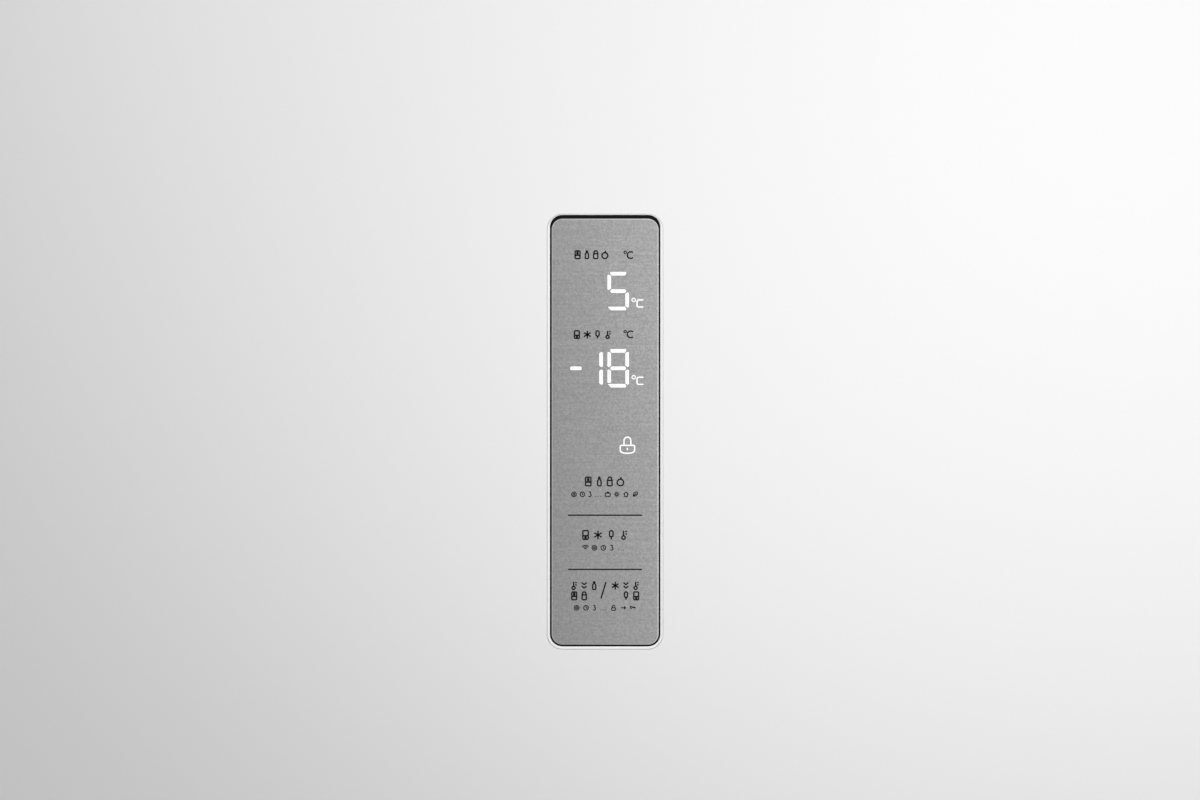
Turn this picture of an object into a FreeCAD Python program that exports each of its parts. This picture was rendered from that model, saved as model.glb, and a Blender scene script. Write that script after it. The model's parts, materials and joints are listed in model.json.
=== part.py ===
import FreeCAD, Part
import math
import os

# Upright two-door refrigerator: cooling compartment above, freezer below, touch panel in the upper door.
# Lengths are in millimetres. The doors face -Y and turn on pins at the +X side. +Z is up, and the
# origin is on the floor under the middle of the cabinet.

V = FreeCAD.Vector

# Overall size
WIDTH = 595.0
HEIGHT = 1850.0
DEPTH = 650.0

# Sheet, mouldings and clearances
SHEET = 0.8
LINER = 1.6
MOULDING = 2.5
GLASS = 4.0
SLIDE_GAP = 0.3
PIN_GAP = 0.06
SEAM = 0.15

# Cabinet walls
LEG_HEIGHT = 40.0
HINGE_COVER_HEIGHT = 20.0
WALL_SPACER_DEPTH = 22.0
FRIDGE_WALL = 50.0
FREEZER_WALL = 62.0
TOP_WALL = 55.0
FLOOR_WALL = 70.0
REAR_WALL = 60.0
NICHE_WALL = 55.0
MULLION_HEIGHT = 90.0
LINER_LIP = 10.0
CAVITY_RADIUS = 20.0
CAVITY_BACK_RADIUS = 12.0
SHELL_RADIUS = 5.0
BEAD_X = 150.0
BEAD_HALF_WIDTH = 8.0
BEAD_RADIUS = 7.9
BEAD_OUT = 2.0
BEAD_LOW_ROOM = 60.0
BEAD_HIGH_ROOM = 80.0
SPACER_INSET = 80.0
SPACER_DROP = 60.0
SPACER_RADIUS = 11.0
SPACER_EDGE = 3.0
BOARD_COVER_HALF_WIDTH = 80.0
BOARD_COVER_HEIGHT = 190.0
BOARD_COVER_DEPTH = 17.0
BOARD_COVER_DROP = 110.0
BOARD_COVER_CORNER = 8.0
BOARD_COVER_EDGE = 3.0
COVER_SLOT_HALF_LENGTH = 50.0
COVER_SLOT = 5.0
COVER_SLOT_PITCH = 16.0
COVER_SLOT_LOW = 40.0
INLET_INSET = 92.5
INLET_LIFT = 40.0
INLET_HALF_WIDTH = 19.0
INLET_HALF_HEIGHT = 14.0
INLET_FLANGE = 4.0
INLET_CORNER = 6.0
GLAND_RADIUS = 9.0
GLAND_LENGTH = 16.0
GLAND_EDGE = 2.0
KICK_GAP = 4.0
KICK_LOW = 12.0
KICK_DEPTH = 9.0
KICK_WALL = 3.0
KICK_EDGE = 2.5
KICK_SLOT = 5.0
KICK_SLOT_PITCH = 15.0
KICK_SLOT_MARGIN = 11.0

# Doors
DOOR_THICKNESS = 60.0
SEAL_GAP = 12.0
DOOR_GAP = 10.0
DOOR_LOW = 64.0
FREEZER_DOOR_HEIGHT = 622.0
DOOR_TOP_GAP = 6.0
DOOR_RADIUS = 10.0
DOOR_BACK_RADIUS = 2.0
CAP_EDGE = 1.5
SKIN_RETURN = 24.0
CAP_HEIGHT = 26.0
GRIP_HEIGHT = 42.0
GRIP_END = 70.0
GRIP_LIP = 12.0
GRIP_ENTRY = 14.0
GRIP_WIDTH = 32.0
GRIP_DEPTH = 34.0
GASKET_INSET = 12.0
GASKET_WIDTH = 16.0
FRAME_WIDTH = 18.0
FRAME_GAP = 8.5
FRIDGE_FRAME_DEPTH = 46.0
FREEZER_FRAME_DEPTH = 14.0

# Hinges and screws
HINGE_INSET = 10.0
HINGE_SETBACK = 42.0
HINGE_PLATE = 4.0
HINGE_FLANGE = 3.0
HINGE_FLANGE_HEIGHT = 28.0
PIN_RADIUS = 5.0
PIN_DEPTH = 20.0
COLLAR_RADIUS = 9.0
HINGE_NOSE = 12.0
HINGE_SIDE_GAP = 2.0
TOP_PLATE_REACH = 70.0
TOP_PLATE_REAR = 68.0
TOP_PLATE_CORNER = 7.0
BRACKET_REACH = 50.0
BRACKET_CORNER = 4.0
MIDDLE_FLANGE_REACH = 110.0
BOTTOM_FLANGE_REACH = 92.0
TOP_SCREW_REACH = 55.0
TOP_SCREW_NEAR = 14.0
TOP_SCREW_FRONT = 22.0
TOP_SCREW_REAR = 54.0
FLANGE_SCREW_END = 15.0
BOTTOM_SCREW_END = 12.0
FLANGE_SCREW_PITCH = 25.0
HINGE_COVER_REACH = 85.0
HINGE_COVER_NOSE = 30.0
HINGE_COVER_REAR = 90.0
HINGE_COVER_CORNER = 10.0
HINGE_COVER_EDGE = 5.0
HINGE_COVER_INNER_EDGE = 4.0
HINGE_COVER_WALL = 1.5
SCREW_RADIUS = 2.4
SCREW_LENGTH = 14.0
SCREW_HEAD_RADIUS = 4.6
SCREW_HEAD = 2.8

# Touch panel
PANEL_HEIGHT_ABOVE_FLOOR = 1400.0
PANEL_WIDTH = 48.5
PANEL_HEIGHT = 192.2
PANEL_RADIUS = 5.0
PANEL_GAP = 0.6
PANEL_HEAD_GAP = 0.9
PANEL_SET = 0.8
PANEL_PLATE = 2.0
PANEL_BEVEL = 0.55
PANEL_BEVEL_DROP = 0.22
PANEL_LEDGE = 1.6
RIM_WIDTH = 1.15
RIM_EDGE = 0.2
RIM_SLOPE = 0.6
RIM_SLOPE_DROP = 0.32
PANEL_BOX_DEPTH = 22.0
PANEL_BOX_WALL = 2.0
BOARD_STANDOFF = 6.4
BOARD = 1.6
POST_RADIUS = 3.5
POST_X = 14.0
POST_Z = 80.0

# Lit digits of the touch panel, placed from the middle of its plate. Each bar ends in a blunt point:
# LEVEL_TIP, UPRIGHT_TIP and MIDDLE_TIP run from the digit's outline or middle line to the point, and the
# other TIP lengths from the point back to the bar's corners
DIGIT_WIDTH = 9.7
DIGIT_HEIGHT = 17.3
SEGMENT = 1.63
SEGMENT_ROUND = 0.25
LEVEL_TIP = 1.2
UPRIGHT_TIP = 1.25
MIDDLE_TIP = 0.55
TIP_DEPTH = 0.68
TIP_OUTER = 0.28
TIP_INNER = 0.63
FOOT_GAP = 0.48
DIGIT_X = 5.9
ONE_X = -5.85
FRIDGE_DIGIT_Z = 63.3
FREEZER_DIGIT_Z = 28.55
MINUS_X = -13.15
MINUS_LENGTH = 5.25
GUIDE_HALF_WIDTH = 18.0
GUIDE_HALF_HEIGHT = 11.0
GUIDE_BASE = 0.6
LOCK_LIGHT_X = 10.0
LOCK_LIGHT_Z = -6.0
LOCK_LIGHT_HALF = 6.0

# Cooling compartment
INTERIOR_SETBACK = 111.0
SHELF_COUNT = 3
SHELF_SIDE_GAP = 2.0
LEDGE_OUT = 9.0
LEDGE_HEIGHT = 8.0
TRIM_DEPTH = 20.0
TRIM_WALL = 5.0
TRIM_DROP = 7.0
TRIM_RISE = 3.0
DUCT_HALF_WIDTH = 95.0
DUCT_DEPTH = 18.0
SHELF_BACK_GAP = 8.0
CRISPER_HEIGHT = 160.0
CRISPER_LIFT = 6.0
CRISPER_SIDE = 25.5
CRISPER_RIM = 11.0
RIM_THICKNESS = 3.0
COVER_GAP = 12.0
HANDLE_OUT = 14.0
HANDLE_DROP = 12.0
LAMP_DROP = 6.0
LAMP_HALF_WIDTH = 75.0
LAMP_LENGTH = 52.0
LAMP_SETBACK = 50.0
LAMP_CORNER = 10.0
LAMP_EDGE = 3.0
SLIDER_HALF = 16.0
SLIDER_RIDGE_HALF = 14.0
SLIDER_TOP = 6.5
SLIDER_FOOT = 2.5
SLIDER_WIDTH = 10.0
SLIDER_GROOVE_HALF = 60.0
SLIDER_GROOVE_DEPTH = 1.5
DUCT_SLOT_X = 52.0
DUCT_SLOT_HALF_LENGTH = 26.0
DUCT_SLOT = 5.0
DUCT_SLOT_PITCH = 12.0
DUCT_END_ROOM = 25.0
DUCT_CORNER = 14.0
DUCT_EDGE = 4.0

# Door bins
BIN_DEPTH = 100.0
DAIRY_DEPTH = 85.0
BIN_HEIGHT = 88.0
BOTTLE_BIN_HEIGHT = 118.0
BIN_END_WALL = 5.0
LUG_OUT = 2.6
LUG_HEIGHT = 14.0
LID_RISE = 20.0
LID_DROP = 10.0
LID_PIN_RADIUS = 2.5

# Freezer
DRAWER_SETBACK = 53.0
DRAWER_SIDE_GAP = 6.0
DRAWER_HEAD_GAP = 13.0
EVAPORATOR_SPACE = 78.0
DUCT_COVER = 3.0
EVAPORATOR_HALF_WIDTH = 185.0
EVAPORATOR_HEIGHT = 160.0
EVAPORATOR_DEPTH = 50.0
EVAPORATOR_LIFT = 20.0
FIN_PITCH = 18.5
FIN = 0.8
EVAPORATOR_TUBE_RADIUS = 4.0
FAN_RADIUS = 48.0
FAN_RING_GAP = 2.5
FAN_RING = 5.5
FAN_DEPTH = 14.0
FAN_BLADES = 7
FAN_BLADE = 1.6
FAN_BLADE_CHORD = 28.0
FAN_HUB_RADIUS = 15.0
FAN_COVER_GAP = 4.0
FAN_ARM_GAP = 4.0
FAN_ARM = 3.0
FAN_ARM_WIDTH = 8.0
MOTOR_LENGTH = 24.0
MOTOR_EDGE = 3.0
FAN_CLEARANCE_BELOW = 12.0
FAN_SLOT = 7.0
FAN_SLOT_PITCH = 13.0
EVAPORATOR_FRONT_GAP = 12.0
EVAPORATOR_TUBE_INSET = 14.0
EVAPORATOR_TUBE_OUT = 8.0
SHAFT_RADIUS = 2.0
MOTOR_RADIUS = 18.0

# Machine niche and underside
COMPRESSOR_HALF_LENGTH = 100.0
COMPRESSOR_HALF_DEPTH = 70.0
COMPRESSOR_HEIGHT = 150.0
COMPRESSOR_X = 45.0
COMPRESSOR_PLATE = 2.5
GROMMET_HEIGHT = 14.0
GROMMET_RADIUS = 12.0
FOOT_PLATE = 3.0
DRIP_TRAY_HEIGHT = 28.0
NICHE_HEADROOM = 20.0
NICHE_FRONT_ROOM = 18.0
NICHE_REAR_ROOM = 27.0
PIPE_RADIUS = 3.2
CAPILLARY_RADIUS = 1.2
DRIER_RADIUS = 9.0
DRIER_LENGTH = 70.0
DRIER_OUT = 150.0
DRIER_BACK = 30.0
DRIER_LIFT = 30.0
PIPE_BEND = 16.0
LIQUID_BEND = 14.0
LIQUID_LIFT = 8.0
SUCTION_LIFT = 100.0
SUCTION_OUT = 45.0
DISCHARGE_LIFT = 50.0
DISCHARGE_OUT = 80.0
DISCHARGE_FRONT = 50.0
CAPILLARY_BEND = 9.0
CAPILLARY_RISE = 20.0
CAPILLARY_OUT = 70.0
CONDENSER_RADIUS = 2.4
CONDENSER_BEND = 30.0
CONDENSER_LIFT = 20.0
CONDENSER_DROP = 60.0
CONDENSER_SETBACK = 70.0
CONDENSER_SKIN_GAP = 0.1
GROMMET_X = 78.0
GROMMET_Y = 48.0
FOOT_PLATE_MARGIN = 14.0
COMPRESSOR_SEAM_LOW = 62.0
COMPRESSOR_SEAM_HIGH = 68.0
COMPRESSOR_SEAM_OUT = 2.0
COMPRESSOR_TOP_ROUND = 34.0
COMPRESSOR_LOW_ROUND = 26.0
TERMINAL_LIFT = 76.0
TERMINAL_HEIGHT = 52.0
TERMINAL_HALF_WIDTH = 26.0
TERMINAL_OUT = 34.0
DRIP_TRAY_SIDE_OUT = 8.0
DRIP_TRAY_INSET = 4.0
CHANNEL_REAR_ROOM = 30.0
CHANNEL_LOW = 22.0
CHANNEL = 2.0
FOOT_INSET = 42.5
FOOT_SETBACK = 38.0
FOOT_PAD_RADIUS = 18.0
FOOT_PAD = 8.0
FOOT_STEM_RADIUS = 5.0
FOOT_BOSS = 8.0
FOOT_NUT_RADIUS = 10.5
FOOT_PAD_EDGE = 3.0
ROLLER_RADIUS = 19.0
ROLLER_WIDTH = 20.0
ROLLER_INSET = 42.5
ROLLER_REAR_ROOM = 53.0
AXLE_RADIUS = 4.0
CHEEK = 2.0
CHEEK_HALF_WIDTH = 13.0
CHEEK_DROP = 11.0
CHEEK_GAP = 0.5
CHEEK_CORNER = 8.0

# Places worked out from the sizes above
HALF = WIDTH / 2
Y_FACE = -DEPTH / 2
Y_DOOR = Y_FACE + DOOR_THICKNESS
Y_CABINET = Y_DOOR + SEAL_GAP
Y_REAR = DEPTH / 2 - WALL_SPACER_DEPTH
Z_TOP = HEIGHT - HINGE_COVER_HEIGHT
FREEZER_DOOR_TOP = DOOR_LOW + FREEZER_DOOR_HEIGHT
FRIDGE_DOOR_LOW = FREEZER_DOOR_TOP + DOOR_GAP
FRIDGE_DOOR_TOP = Z_TOP - DOOR_TOP_GAP
Z_SPLIT = FREEZER_DOOR_TOP + DOOR_GAP / 2
FRIDGE_X = HALF - FRIDGE_WALL
FREEZER_X = HALF - FREEZER_WALL
FRIDGE_FLOOR = Z_SPLIT + MULLION_HEIGHT / 2
FRIDGE_CEILING = Z_TOP - TOP_WALL
FREEZER_FLOOR = LEG_HEIGHT + FLOOR_WALL
FREEZER_CEILING = Z_SPLIT - MULLION_HEIGHT / 2
CAVITY_BACK = Y_REAR - REAR_WALL
FRIDGE_LIP_X = FRIDGE_X + LINER_LIP
FREEZER_LIP_X = FREEZER_X + LINER_LIP

PLATE_TOP = LEG_HEIGHT + COMPRESSOR_PLATE
COMPRESSOR_LOW = PLATE_TOP + GROMMET_HEIGHT
COMPRESSOR_TOP = COMPRESSOR_LOW + FOOT_PLATE + COMPRESSOR_HEIGHT
NICHE_TOP = COMPRESSOR_TOP + DRIP_TRAY_HEIGHT + NICHE_HEADROOM
NICHE_FRONT = Y_REAR - NICHE_REAR_ROOM - 2 * COMPRESSOR_HALF_DEPTH - NICHE_FRONT_ROOM
COMPRESSOR_Y = NICHE_FRONT + NICHE_FRONT_ROOM + COMPRESSOR_HALF_DEPTH
STEP_TOP = NICHE_TOP + NICHE_WALL
STEP_FRONT = NICHE_FRONT - NICHE_WALL

HINGE_X = HALF - HINGE_INSET
HINGE_Y = Y_FACE + HINGE_SETBACK

PLATE_FRONT = Y_FACE + PANEL_SET
PLATE_BACK = PLATE_FRONT + PANEL_PLATE

SHELF_FRONT = Y_CABINET + INTERIOR_SETBACK
SHELF_BACK = CAVITY_BACK - DUCT_DEPTH - SHELF_BACK_GAP
SHELF_X = FRIDGE_X - SHELF_SIDE_GAP
CRISPER_X = FRIDGE_X - CRISPER_SIDE
CRISPER_LOW = FRIDGE_FLOOR + CRISPER_LIFT
CRISPER_TOP = CRISPER_LOW + CRISPER_HEIGHT
COVER_LEVEL = CRISPER_TOP + COVER_GAP
SHELF_PITCH = (FRIDGE_CEILING - COVER_LEVEL) / (SHELF_COUNT + 1)

DUCT_COVER_Y = CAVITY_BACK - EVAPORATOR_SPACE
EVAPORATOR_LOW = STEP_TOP + EVAPORATOR_LIFT
FAN_RING_RADIUS = FAN_RADIUS + FAN_RING_GAP + FAN_RING
FAN_Z = EVAPORATOR_LOW + EVAPORATOR_HEIGHT + FAN_CLEARANCE_BELOW + FAN_RING_RADIUS
FAN_Y = DUCT_COVER_Y + DUCT_COVER + FAN_COVER_GAP
FREEZER_SHELF_LOW = STEP_TOP
FREEZER_SHELF_HIGH = (STEP_TOP + FREEZER_CEILING) / 2
DRAWER_X = FREEZER_X - DRAWER_SIDE_GAP
DRAWER_FRONT = Y_CABINET + DRAWER_SETBACK

BIN_X = FRIDGE_X - FRAME_GAP - FRAME_WIDTH
FOOT_X = HALF - FOOT_INSET
FOOT_Y = Y_CABINET + FOOT_SETBACK
ROLLER_X = HALF - ROLLER_INSET
ROLLER_Y = Y_REAR - ROLLER_REAR_ROOM

PLANES = {
    "x": lambda u, v, w: V(w, u, v),
    "y": lambda u, v, w: V(u, w, v),
    "z": lambda u, v, w: V(u, v, w),
}


def block(x0, x1, y0, y1, z0, z1):
    """Plain box between two corners."""
    return Part.makeBox(x1 - x0, y1 - y0, z1 - z0, V(x0, y0, z0))


def rod(radius, start, end):
    """Round bar between two points."""
    along = end.sub(start)
    return Part.makeCylinder(radius, along.Length, start, along)


def rounded_path(points, radii, closed):
    """Edges through the points, each corner replaced by an arc of its radius."""
    count = len(points)
    entry, exit_, middle = [], [], []
    for i, corner in enumerate(points):
        inside = closed or 0 < i < count - 1
        if not inside or radii[i] <= 0:
            entry.append(corner)
            exit_.append(corner)
            middle.append(None)
            continue
        back = points[i - 1].sub(corner).normalize()
        ahead = points[(i + 1) % count].sub(corner).normalize()
        half_angle = back.getAngle(ahead) / 2
        reach = radii[i] / math.tan(half_angle)
        bisector = back.add(ahead).normalize()
        bow = radii[i] / math.sin(half_angle) - radii[i]
        entry.append(corner.add(back.multiply(reach)))
        exit_.append(corner.add(ahead.multiply(reach)))
        middle.append(corner.add(bisector.multiply(bow)))
    edges = []
    for i in range(count):
        if middle[i] is not None:
            edges.append(Part.Arc(entry[i], middle[i], exit_[i]).toShape())
        last = i == count - 1
        if last and not closed:
            continue
        start, end = exit_[i], entry[(i + 1) % count]
        if start.distanceToPoint(end) > 1e-6:
            edges.append(Part.LineSegment(start, end).toShape())
    return Part.Wire(edges)


def prism(axis, corners, w0, w1):
    """Solid with a flat outline of (u, v, radius) corners, from w0 to w1 along the axis."""
    at = PLANES[axis]
    wire = rounded_path([at(u, v, w0) for u, v, r in corners], [r for u, v, r in corners], True)
    return Part.Face(wire).extrude(at(0, 0, w1 - w0))


def soft_box(axis, u0, u1, v0, v1, w0, w1, radius):
    """Box whose four edges along the axis are rounded."""
    corners = [(u0, v0, radius), (u1, v0, radius), (u1, v1, radius), (u0, v1, radius)]
    return prism(axis, corners, w0, w1)


def edges_at(shape, axis, value):
    """Edges that lie in the plane where the axis has this value."""
    found = []
    for edge in shape.Edges:
        low = getattr(edge.BoundBox, axis + "Min")
        high = getattr(edge.BoundBox, axis + "Max")
        if abs(low - value) < 0.001 and abs(high - value) < 0.001:
            found.append(edge)
    return found


def tube(points, bend, radius):
    """Round bar along straight runs joined by bends."""
    path = rounded_path(points, [bend] * len(points), False)
    along = points[1].sub(points[0])
    ring = Part.Wire(Part.makeCircle(radius, points[0], along))
    return path.makePipeShell([ring], True, False)


def tub(x0, x1, y0, y1, z0, z1, wall, end_wall, corner, floor_round):
    """Open box with rounded corners and a rounded foot; end_wall is the wall on the two x sides."""
    outer = soft_box("z", x0, x1, y0, y1, z0, z1, corner)
    outer = outer.makeFillet(floor_round, edges_at(outer, "Z", z0))
    room = soft_box(
        "z", x0 + end_wall, x1 - end_wall, y0 + wall, y1 - wall, z0 + wall, z1 + wall, corner - wall
    )
    room = room.makeFillet(floor_round - wall, edges_at(room, "Z", z0 + wall))
    return outer.cut(room)


def union(shapes):
    """One solid from touching or overlapping shapes."""
    return shapes[0].multiFuse(shapes[1:]).removeSplitter()


def group(shapes):
    """Several loose solids of one node."""
    solids = []
    for shape in shapes:
        solids.extend(shape.Solids)
    return Part.makeCompound(solids)


# Hinge screws: seat of the head, and the way in
TOP_SCREWS = [
    (V(HINGE_X - TOP_SCREW_REACH, Y_CABINET + TOP_SCREW_FRONT, Z_TOP + HINGE_PLATE), V(0, 0, -1)),
    (V(HINGE_X - TOP_SCREW_REACH, Y_CABINET + TOP_SCREW_REAR, Z_TOP + HINGE_PLATE), V(0, 0, -1)),
    (V(HINGE_X - TOP_SCREW_NEAR, Y_CABINET + TOP_SCREW_REAR, Z_TOP + HINGE_PLATE), V(0, 0, -1)),
]
FLANGE_FRONT = Y_CABINET - HINGE_FLANGE
MIDDLE_SCREW_X = HINGE_X - MIDDLE_FLANGE_REACH + FLANGE_SCREW_END
MIDDLE_SCREWS = [
    (V(MIDDLE_SCREW_X, FLANGE_FRONT, Z_SPLIT), V(0, 1, 0)),
    (V(MIDDLE_SCREW_X + FLANGE_SCREW_PITCH, FLANGE_FRONT, Z_SPLIT), V(0, 1, 0)),
]
BOTTOM_PLATE_TOP = DOOR_LOW - 2 * HINGE_PLATE
BOTTOM_SCREW_Z = (LEG_HEIGHT + BOTTOM_PLATE_TOP) / 2
BOTTOM_SCREW_X = HINGE_X - BOTTOM_FLANGE_REACH + BOTTOM_SCREW_END
BOTTOM_SCREWS = [
    (V(BOTTOM_SCREW_X, FLANGE_FRONT, BOTTOM_SCREW_Z), V(0, 1, 0)),
    (V(BOTTOM_SCREW_X + FLANGE_SCREW_PITCH, FLANGE_FRONT, BOTTOM_SCREW_Z), V(0, 1, 0)),
]
ALL_SCREWS = TOP_SCREWS + MIDDLE_SCREWS + BOTTOM_SCREWS


def screw(seat, inward):
    """Pan head screw with its head on the seat."""
    head = Part.makeCylinder(SCREW_HEAD_RADIUS, SCREW_HEAD, seat, inward * -1)
    head = head.makeFillet(SCREW_HEAD * 0.4, [head.Edges[0]])
    return head.fuse(Part.makeCylinder(SCREW_RADIUS, SCREW_LENGTH, seat, inward)).removeSplitter()


def screw_holes(screws):
    """Clearance holes for a list of screws."""
    radius = SCREW_RADIUS + PIN_GAP
    return Part.makeCompound([Part.makeCylinder(radius, SCREW_LENGTH, seat, way) for seat, way in screws])


# Cabinet


def shell_outline(inset, low):
    """Front view outline of the wrapped shell, moved in by the inset."""
    side = HALF - inset
    top = Z_TOP - inset
    radius = SHELL_RADIUS - inset
    return [(-side, low, 0), (side, low, 0), (side, top, radius), (-side, top, radius)]


def front_window(half_width, low, high):
    """Part of the front face that a liner lip or a rail fills."""
    return block(-half_width, half_width, Y_CABINET, Y_CABINET + SHEET, low, high)


def mullion_strip():
    return front_window(FRIDGE_LIP_X, FREEZER_CEILING + LINER_LIP, FRIDGE_FLOOR - LINER_LIP)


def lower_strip():
    return front_window(FREEZER_LIP_X, LEG_HEIGHT, FREEZER_FLOOR - LINER_LIP)


def cabinet_shell():
    outer = prism("y", shell_outline(0, LEG_HEIGHT), Y_CABINET, Y_REAR)
    room = prism("y", shell_outline(SHEET, LEG_HEIGHT), Y_CABINET + SHEET, Y_REAR)
    windows = [
        front_window(FRIDGE_LIP_X, FRIDGE_FLOOR - LINER_LIP, FRIDGE_CEILING + LINER_LIP),
        front_window(FREEZER_LIP_X, FREEZER_FLOOR - LINER_LIP, FREEZER_CEILING + LINER_LIP),
        mullion_strip(),
        lower_strip(),
    ]
    shell = outer.cut(room)
    for window in windows:
        shell = shell.cut(window)
    return shell.cut(screw_holes(TOP_SCREWS)).removeSplitter()


def fridge_room(inset, front):
    """Space of the cooling compartment, grown outward by the inset."""
    side = FRIDGE_X + inset
    room = soft_box(
        "y", -side, side, FRIDGE_FLOOR - inset, FRIDGE_CEILING + inset,
        front, CAVITY_BACK + inset, CAVITY_RADIUS + inset,
    )
    return room.makeFillet(CAVITY_BACK_RADIUS + inset, edges_at(room, "Y", CAVITY_BACK + inset))


def fridge_liner_filled():
    lip = block(
        -FRIDGE_LIP_X, FRIDGE_LIP_X, Y_CABINET, Y_CABINET + LINER,
        FRIDGE_FLOOR - LINER_LIP, FRIDGE_CEILING + LINER_LIP,
    )
    return fridge_room(LINER, Y_CABINET).fuse(lip)


def ledge(side, inner, outer, y0, y1, z0, z1):
    """Moulded rib on a side wall, rounded along its length."""
    a, b = side * inner, side * outer
    return soft_box("y", min(a, b), max(a, b), z0, z1, y0, y1, 2.0)


def fridge_liner():
    liner = fridge_liner_filled().cut(fridge_room(0, Y_CABINET - 1))
    ribs = []
    ledge_front = SHELF_FRONT + TRIM_DEPTH + 4
    for side in (-1, 1):
        for step in range(2 * SHELF_COUNT + 2):
            top = COVER_LEVEL + step * SHELF_PITCH / 2
            inner = FRIDGE_X - LEDGE_OUT
            outer = FRIDGE_X + LINER / 2
            ribs.append(ledge(side, inner, outer, ledge_front, CAVITY_BACK - 15, top - LEDGE_HEIGHT, top))
        rail_top = CRISPER_TOP - RIM_THICKNESS - SLIDE_GAP
        ribs.append(
            ledge(
                side, CRISPER_X + 2, FRIDGE_X + LINER / 2, ledge_front, CAVITY_BACK - 15,
                rail_top - 10, rail_top,
            )
        )
    return union([liner] + ribs)


def freezer_room(inset, front):
    """Space of the freezer with the step over the machine niche, grown outward by the inset."""
    low = FREEZER_FLOOR - inset
    high = FREEZER_CEILING + inset
    back = CAVITY_BACK + inset
    step_y = STEP_FRONT + inset
    step_z = STEP_TOP - inset
    radius = CAVITY_RADIUS + inset
    corners = [
        (front, low, 0), (step_y, low, radius), (step_y, step_z, CAVITY_RADIUS - inset),
        (back, step_z, radius), (back, high, radius), (front, high, 0),
    ]
    side = FREEZER_X + inset
    return prism("x", corners, -side, side)


def freezer_liner_filled():
    lip = block(
        -FREEZER_LIP_X, FREEZER_LIP_X, Y_CABINET, Y_CABINET + LINER,
        FREEZER_FLOOR - LINER_LIP, FREEZER_CEILING + LINER_LIP,
    )
    return freezer_room(LINER, Y_CABINET).fuse(lip)


def freezer_liner():
    liner = freezer_liner_filled().cut(freezer_room(0, Y_CABINET - 1))
    ribs = []
    for side in (-1, 1):
        for top, y_end in ((FREEZER_SHELF_LOW, STEP_FRONT - 5), (FREEZER_SHELF_HIGH, DUCT_COVER_Y - 5)):
            inner = FREEZER_X - LEDGE_OUT
            outer = FREEZER_X + LINER / 2
            ribs.append(ledge(side, inner, outer, DRAWER_FRONT + 8, y_end, top - LEDGE_HEIGHT, top))
    return union([liner] + ribs)


def cabinet_insulation():
    foam = prism("y", shell_outline(SHEET, LEG_HEIGHT + SHEET), Y_CABINET + SHEET, Y_REAR - SHEET)
    niche = block(-WIDTH, WIDTH, NICHE_FRONT - SHEET, DEPTH, 0, NICHE_TOP + SHEET)
    foam = foam.cut(niche)
    foam = foam.cut(fridge_liner_filled())
    return foam.cut(freezer_liner_filled()).removeSplitter()


def front_rails():
    mullion = mullion_strip().cut(screw_holes(MIDDLE_SCREWS))
    channel_back = FOOT_Y + CHANNEL_REAR_ROOM
    side = HALF - SHEET
    web = block(-side, side, Y_CABINET, Y_CABINET + SHEET, CHANNEL_LOW, LEG_HEIGHT)
    floor = block(-side, side, Y_CABINET, channel_back, CHANNEL_LOW, CHANNEL_LOW + CHANNEL)
    rear = block(-side, side, channel_back - CHANNEL, channel_back, CHANNEL_LOW, LEG_HEIGHT)
    lower = [lower_strip(), web, floor, rear]
    holes = []
    for side in (-1, 1):
        foot = V(side * FOOT_X, FOOT_Y, CHANNEL_LOW)
        lower.append(rod(2 * FOOT_STEM_RADIUS, foot, foot + V(0, 0, CHANNEL + FOOT_BOSS)))
        holes.append(rod(FOOT_STEM_RADIUS + PIN_GAP, foot - V(0, 0, 1), foot + V(0, 0, 2 * FOOT_BOSS)))
    lower = union(lower).cut(Part.makeCompound(holes)).cut(screw_holes(BOTTOM_SCREWS))
    return group([mullion, lower])


def rear_panel():
    low = NICHE_TOP + SHEET
    sheet = prism("y", shell_outline(SHEET, low), Y_REAR - SHEET, Y_REAR)
    beads = []
    for x in (-BEAD_X, BEAD_X):
        beads.append(
            soft_box(
                "y", x - BEAD_HALF_WIDTH, x + BEAD_HALF_WIDTH, low + BEAD_LOW_ROOM, Z_TOP - BEAD_HIGH_ROOM,
                Y_REAR - SHEET, Y_REAR + BEAD_OUT, BEAD_RADIUS,
            )
        )
    return union([sheet] + beads)


def base_pan():
    side = HALF - SHEET
    front = Y_CABINET + SHEET
    floor = block(-side, side, front, NICHE_FRONT, LEG_HEIGHT, LEG_HEIGHT + SHEET)
    riser = block(-side, side, NICHE_FRONT - SHEET, NICHE_FRONT, LEG_HEIGHT, NICHE_TOP + SHEET)
    roof = block(-side, side, NICHE_FRONT - SHEET, Y_REAR, NICHE_TOP, NICHE_TOP + SHEET)
    return union([floor, riser, roof])


def wall_spacers():
    posts = []
    for x in (-HALF + SPACER_INSET, HALF - SPACER_INSET):
        foot = V(x, Y_REAR, Z_TOP - SPACER_DROP)
        post = rod(SPACER_RADIUS, foot, foot + V(0, WALL_SPACER_DEPTH, 0))
        posts.append(post.makeFillet(SPACER_EDGE, edges_at(post, "Y", Y_REAR + WALL_SPACER_DEPTH)))
    return group(posts)


# Hinges


def top_hinge():
    plate = soft_box(
        "z", HINGE_X - TOP_PLATE_REACH, HALF - HINGE_SIDE_GAP, HINGE_Y - HINGE_NOSE,
        Y_CABINET + TOP_PLATE_REAR, Z_TOP, Z_TOP + HINGE_PLATE, TOP_PLATE_CORNER,
    )
    pin = rod(PIN_RADIUS, V(HINGE_X, HINGE_Y, Z_TOP + 1), V(HINGE_X, HINGE_Y, FRIDGE_DOOR_TOP - PIN_DEPTH))
    return union([plate, pin]).cut(screw_holes(TOP_SCREWS))


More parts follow.
